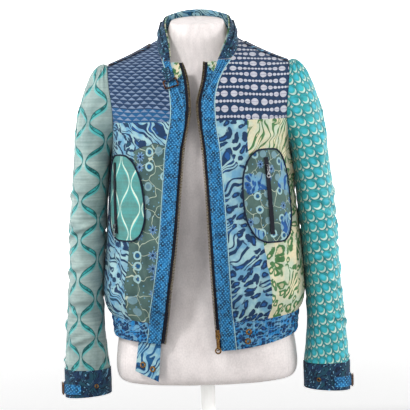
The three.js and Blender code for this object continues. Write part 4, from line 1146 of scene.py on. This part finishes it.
def tube(name, path, radius, finish, closed=False):
    """Piping along a path."""
    bm = bmesh.new()
    count = len(path)
    rings = []
    for i, point in enumerate(path):
        before = path[i - 1] if i or closed else path[i]
        after = path[(i + 1) % count] if i < count - 1 or closed else path[i]
        along = (after - before).normalized()
        side = along.cross(way_out(point)).normalized()
        up = side.cross(along)
        ring = [
            bm.verts.new(point + side * radius * math.cos(a) + up * radius * math.sin(a))
            for a in (2 * math.pi * k / PIPING_SIDES for k in range(PIPING_SIDES))
        ]
        rings.append(ring)
    for i in range(count if closed else count - 1):
        first, second = rings[i], rings[(i + 1) % count]
        for k in range(PIPING_SIDES):
            beside = (k + 1) % PIPING_SIDES
            bm.faces.new((first[k], first[beside], second[beside], second[k]))
    if not closed:
        bm.faces.new(reversed(rings[0]))
        bm.faces.new(rings[-1])
    bmesh.ops.recalc_face_normals(bm, faces=bm.faces)
    finished(name, bm, finish)


def finished(name, bm, finish, smooth=True):
    mesh = mesh_from(bm, name)
    lay_cloth_map(mesh, body_place)
    shade_smooth(mesh, smooth)
    refinish(mesh, finish)
    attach(as_object(name, mesh), BODY)


# Half width of a stitch, its rise over the cloth and the depth of its underside in it, in metres
STITCH_SIDE = 0.0007
STITCH_RISE = 0.00035
STITCH_SUNK = 0.0003


def stitches(name, lines, finish):
    """Short raised stitches along lines of (path, piece that it is sewn to)."""
    bm = bmesh.new()
    for path, piece in lines:
        for point, along in spaced(path, sizes().stitch):
            out = way_out(point)
            hit = outer_side(piece, point, out)
            side = along.cross(out).normalized() * STITCH_SIDE
            tip = along * sizes().stitch * 0.34
            low = hit - out * STITCH_SUNK
            ridge = hit + out * STITCH_RISE
            ends = [low - tip, low + tip]
            left = [bm.verts.new(e + side) for e in ends]
            right = [bm.verts.new(e - side) for e in ends]
            top = [bm.verts.new(ridge - tip * 0.6), bm.verts.new(ridge + tip * 0.6)]
            bm.faces.new((left[0], left[1], top[1], top[0]))
            bm.faces.new((right[1], right[0], top[0], top[1]))
            bm.faces.new((left[0], top[0], right[0]))
            bm.faces.new((left[1], right[1], top[1]))
            bm.faces.new((left[1], left[0], right[0], right[1]))
    bmesh.ops.recalc_face_normals(bm, faces=bm.faces)
    finished(name, bm, finish, smooth=False)


# Operators


class SewPanels(bpy.types.Operator):
    """Make the back, fronts and yokes"""

    bl_idname = "jacket.sew_panels"
    bl_label = "Sew panels"

    def execute(self, context):
        panels = {
            "back": "tiger",
            "front_left_centre": "blue leopard",
            "front_left_side": "cream leopard",
            "front_right_centre": "garden",
            "front_right_side": "tiger",
        }
        body = {"outward": body_outward, "creases": BODY_CREASES, "gathers": bloused}
        for node, finish in panels.items():
            make_piece(node, finish, body_place, **body)
        yokes = {"yoke_left": "discs", "yoke_right": "triangles", "yoke_back": "blue leopard"}
        for node, finish in yokes.items():
            make_piece(node, finish, yoke_place, outward=body_outward, crumple=0.8)
        return {"FINISHED"}


class SewSleeves(bpy.types.Operator):
    """Make the sleeves and cuffs with their straps"""

    bl_idname = "jacket.sew_sleeves"
    bl_label = "Sew sleeves"

    def execute(self, context):
        sleeve = {"outward": sleeve_outward, "creases": SLEEVE_CREASES, "gathers": gathered}
        for name, finish, shift in (("left", "scallop", 0.0), ("right", "ogee", 17.0)):
            make_piece("sleeve_" + name, finish, sleeve_place, shift=shift, **sleeve)
            make_piece("cuff_" + name, "cuff navy", sleeve_place, outward=sleeve_outward, crumple=0.7)
            make_piece("cuff_strap_" + name, "dots", sleeve_place)
        return {"FINISHED"}


class SewCollar(bpy.types.Operator):
    """Make the collar, its facing, the throat strap and the epaulettes"""

    bl_idname = "jacket.sew_collar"
    bl_label = "Sew collar"

    def execute(self, context):
        make_piece("collar", "small navy", collar_place)
        make_piece("collar_facing", "facing", collar_place)
        make_piece("throat_strap", "cuff navy", collar_place)
        for name in ("right", "back", "left"):
            make_piece("strap_carrier_" + name, "small navy", collar_place, slices=False)
        for name in ("left", "right"):
            make_piece("epaulette_" + name, "epaulette", yoke_place, slices=False)
        make_piece("buckle_strap", "small navy", body_place, slices=False)
        return {"FINISHED"}


class SewFronts(bpy.types.Operator):
    """Make the zip bands, facings, tapes, teeth and piping"""

    bl_idname = "jacket.sew_fronts"
    bl_label = "Sew front edges"

    def execute(self, context):
        for name, side in (("left", 1), ("right", -1)):
            make_piece("zip_band_" + name, "dots", body_place, outward=body_outward, crumple=0.6)
            make_piece("facing_" + name, "front facing", body_place)
            make_piece("zip_tape_" + name, "tape", body_place)
            edge = rail("zip_tape_" + name, TAPE_ROW, lambda p: -side * p[0] - 0.2 * p[1])
            self.teeth(name, smooth_path(edge, 8), side)
            radius, out = BAND_PIPING
            path = [p + way_out(p) * out for p in smooth_path(band_edge(name, side), 6)]
            tube("band_piping_" + name, path, radius, "piping")
        return {"FINISHED"}

    def teeth(self, name, path, side):
        bm = bmesh.new()
        for point, along in spaced(path, sizes().tooth):
            out = way_out(point)
            across = along.cross(out).normalized()
            if across.x * side > 0:
                across = -across
            middle = point + across * TOOTH_ACROSS - out * TOOTH_SUNK
            turn = Matrix((across, along, out)).transposed().to_4x4()
            place = Matrix.Translation(middle) @ turn @ Matrix.Diagonal(TOOTH_SIZE + (1.0,))
            bmesh.ops.create_cube(bm, size=1.0, matrix=place)
        finished("zip_teeth_" + name, bm, "teeth", smooth=False)


class SewWaist(bpy.types.Operator):
    """Make the ruched waistband and the hanging tab"""

    bl_idname = "jacket.sew_waist"
    bl_label = "Sew waistband"

    def execute(self, context):
        band = {"outward": body_outward, "gathers": ruched, "slices": False, "levels": 2}
        for name in ("back", "left", "right"):
            make_piece("waistband_" + name, "waist", body_place, **band)
        make_piece("waist_tab", "tab tiger", body_place)
        return {"FINISHED"}


# Turn in radians within which corners count as a pocket's edge
POCKET_EDGE = 0.012


class SewPockets(bpy.types.Operator):
    """Make the pockets with their zips and piping"""

    bl_idname = "jacket.sew_pockets"
    bl_label = "Sew pockets"

    def execute(self, context):
        for name, finish in (("left", "rings"), ("right", "pocket ogee")):
            make_piece("pocket_" + name, finish, body_place, outward=body_outward, crumple=0.7)
            make_piece("pocket_zip_" + name, "tape", body_place)
            radius, out = POCKET_PIPING
            path = [p + way_out(p) * out for p in smooth_path(self.outline("pocket_" + name), 6)]
            tube("pocket_piping_" + name, path, radius, "dark piping", closed=True)
        return {"FINISHED"}

    def outline(self, node):
        """The pocket's outer edge, up one side and down the other."""
        rows = {}
        for vertex in NODES[node].data.vertices:
            rows.setdefault(round(vertex.co.z, 4), []).append(vertex.co.copy())
        first, second = [], []
        for height in sorted(rows):
            turns = [math.atan2(p.x, -p.y) for p in rows[height]]
            low, high = min(turns) + POCKET_EDGE, max(turns) - POCKET_EDGE
            paired = list(zip(turns, rows[height]))
            first.append(max((p for turn, p in paired if turn < low), key=lambda p: p.xy.length))
            second.append(max((p for turn, p in paired if turn > high), key=lambda p: p.xy.length))
        loop = first + second[::-1]
        return loop + [loop[0]]


# How the names of the metal nodes begin, by finish
HARDWARE = {
    "brass": ("main_zip", "waist_snap", "tab_eyelet", "cuff_eyelet"),
    "steel": ("pocket_left_zip_", "pocket_right_zip_"),
    "gunmetal": ("throat_buckle", "cuff_buckle"),
}


class AddHardware(bpy.types.Operator):
    """Finish the metal pieces"""

    bl_idname = "jacket.add_hardware"
    bl_label = "Add hardware"

    def execute(self, context):
        for node, piece in NODES.items():
            for finish, starts in HARDWARE.items():
                if node.startswith(starts):
                    refinish(piece.data, finish)
        return {"FINISHED"}


# Where each yoke's row of topstitching begins and ends, in mm round the body, and its height over the edge
YOKE_RUNS = {"yoke_left": (60, 215), "yoke_right": (-215, -60), "yoke_back": (330, 706)}
YOKE_SEWING = 0.004


class AddSewing(bpy.types.Operator):
    """Lay stitching along the seams"""

    bl_idname = "jacket.add_sewing"
    bl_label = "Add sewing"

    def execute(self, context):
        lines = []
        for name, side in (("left", 1), ("right", -1)):
            band = PIECES["zip_band_" + name]
            pairs = list(zip(smooth_path(band_edge(name, -side), 3), smooth_path(band_edge(name, side), 3)))
            for share in (0.12, 0.9):
                lines.append(([inner.lerp(outer, share) for inner, outer in pairs], band))
        stitches("band_stitching", lines, "thread")
        stitches("seam_stitching", self.yoke_lines(), "dark thread")
        return {"FINISHED"}

    def yoke_lines(self):
        """A row of topstitching along each yoke's lower edge."""
        lines = []
        for node, (start, stop) in YOKE_RUNS.items():
            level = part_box(node)[0][2] + YOKE_SEWING
            lines.append((around(PIECES[node], level, start, stop), PIECES[node]))
        return lines


class CoverForm(bpy.types.Operator):
    """Cover the dress form in jersey and paint the stand"""

    bl_idname = "jacket.cover_form"
    bl_label = "Cover form"

    def execute(self, context):
        mesh = mesh_from(rounded(welded("dress_form"), 2), "form_cover")
        lay_cloth_map(mesh, body_place)
        shade_smooth(mesh)
        refinish(mesh, "jersey")
        cover = as_object("form_cover", mesh)
        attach(cover, BODY)
        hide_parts("dress_form")
        for node in ("stand_base", "stand_pole"):
            refinish(NODES[node].data, "stand paint")
        return {"FINISHED"}


# The floor from its flat middle to the top of its wall: distance from the middle and height, in metres
FLOOR_PROFILE = [(2.9, 0.0), (3.5, 0.05), (4.1, 0.3), (4.6, 0.8), (4.85, 1.5), (4.9, 2.6), (4.9, 4.4)]
FLOOR_SIDES = 64

# Lamps: place and size in metres, and power in watts; all aim at one point
LAMPS = {
    "key": ((-1.9, -1.9, 2.8), 0.55, 68),
    "fill": ((1.4, -2.9, 1.0), 1.2, 11),
    "left": ((-2.8, -0.4, 1.0), 0.8, 26),
    "right": ((2.8, -0.4, 1.0), 0.8, 42),
    "back": ((0.3, 2.6, 2.2), 1.6, 24),
}
LAMP_AIM = (0, 0, 0.5)

# Width of the camera's sensor in mm
SENSOR = 36


class SetStage(bpy.types.Operator):
    """Set the floor, the light and the camera"""

    bl_idname = "jacket.set_stage"
    bl_label = "Set stage"

    def execute(self, context):
        self.floor()
        self.light(context.scene)
        self.camera(context.scene)
        return {"FINISHED"}

    def floor(self):
        """A round floor that turns up into a pale wall, brightest behind the jacket."""
        bm = bmesh.new()
        turns = [2 * math.pi * i / FLOOR_SIDES for i in range(FLOOR_SIDES)]
        rings = [
            [bm.verts.new((far * math.cos(a), far * math.sin(a), height)) for a in turns]
            for far, height in FLOOR_PROFILE
        ]
        bm.faces.new(rings[0])
        for low, high in zip(rings, rings[1:]):
            for i in range(FLOOR_SIDES):
                beside = (i + 1) % FLOOR_SIDES
                bm.faces.new((low[i], low[beside], high[beside], high[i]))
        mesh = mesh_from(bm, "floor")
        shade_smooth(mesh)
        mesh.materials.append(self.floor_material())
        as_object("floor", mesh)

    def floor_material(self):
        material = bpy.data.materials.new("floor")
        material.use_nodes = True
        tree = material.node_tree
        shader = tree.nodes["Principled BSDF"]
        shader.inputs["Base Color"].default_value = (0.94, 0.94, 0.94, 1)
        shader.inputs["Roughness"].default_value = 0.9
        shader.inputs["Emission Color"].default_value = (1, 1, 1, 1)
        where = tree.nodes.new("ShaderNodeTexCoord")
        parts = tree.nodes.new("ShaderNodeSeparateXYZ")
        tree.links.new(where.outputs["Object"], parts.inputs[0])
        behind = Field(tree, parts.outputs[1])
        glow = ((behind + 0.1) * 2.2).clamped() * 0.54 + 0.36
        tree.links.new(glow.socket, shader.inputs["Emission Strength"])
        return material

    def light(self, scene):
        world = bpy.data.worlds.new("studio")
        world.use_nodes = True
        background = world.node_tree.nodes["Background"]
        background.inputs[0].default_value = (1, 1, 1, 1)
        background.inputs[1].default_value = 0.17
        scene.world = world
        for name, (place, size, power) in LAMPS.items():
            data = bpy.data.lights.new(name, "AREA")
            data.size = size
            data.energy = power
            lamp = as_object(name, data)
            lamp.location = place
            aim = Vector(LAMP_AIM) - Vector(place)
            lamp.rotation_euler = aim.to_track_quat("-Z", "Y").to_euler()

    def camera(self, scene):
        stage = scene.jacket_stage
        data = bpy.data.cameras.new("camera")
        data.sensor_width = SENSOR
        data.lens = SENSOR * stage.distance / stage.frame_width
        data.clip_end = 60
        ahead = Vector((0, math.cos(stage.elevation), -math.sin(stage.elevation)))
        aim = Vector((stage.aim_side, 0, stage.aim_height))
        upright = ahead.to_track_quat("-Z", "Y").to_matrix().to_4x4()
        roll = Matrix.Rotation(stage.roll, 4, "Z")
        camera = as_object("camera", data)
        camera.matrix_world = Matrix.Translation(aim - ahead * stage.distance) @ upright @ roll
        scene.camera = camera
        scene.view_settings.view_transform = "Standard"


OPERATORS = [
    SetStage,
    CoverForm,
    SewPanels,
    SewSleeves,
    SewFronts,
    SewCollar,
    SewWaist,
    SewPockets,
    AddHardware,
    AddSewing,
]


class JacketPanel(bpy.types.Panel):
    """The steps of the jacket, in order"""

    bl_label = "Jacket"
    bl_idname = "VIEW3D_PT_jacket"
    bl_space_type = "VIEW_3D"
    bl_region_type = "UI"
    bl_category = "Jacket"

    def draw(self, context):
        for operator in OPERATORS:
            self.layout.operator(operator.bl_idname)
        for group in ("jacket_sizes", "jacket_colours", "jacket_stage"):
            settings = getattr(context.scene, group)
            for name in settings.__annotations__:
                self.layout.prop(settings, name)


CLASSES = [JacketColours, JacketSizes, JacketStage, *OPERATORS, JacketPanel]


def register():
    for cls in CLASSES:
        bpy.utils.register_class(cls)
    bpy.types.Scene.jacket_colours = PointerProperty(type=JacketColours)
    bpy.types.Scene.jacket_sizes = PointerProperty(type=JacketSizes)
    bpy.types.Scene.jacket_stage = PointerProperty(type=JacketStage)


def unregister():
    del bpy.types.Scene.jacket_colours
    del bpy.types.Scene.jacket_sizes
    del bpy.types.Scene.jacket_stage
    for cls in reversed(CLASSES):
        bpy.utils.unregister_class(cls)


def main():
    register()
    for operator in OPERATORS:
        group, name = operator.bl_idname.split(".")
        getattr(getattr(bpy.ops, group), name)()


if __name__ == "__main__":
    main()
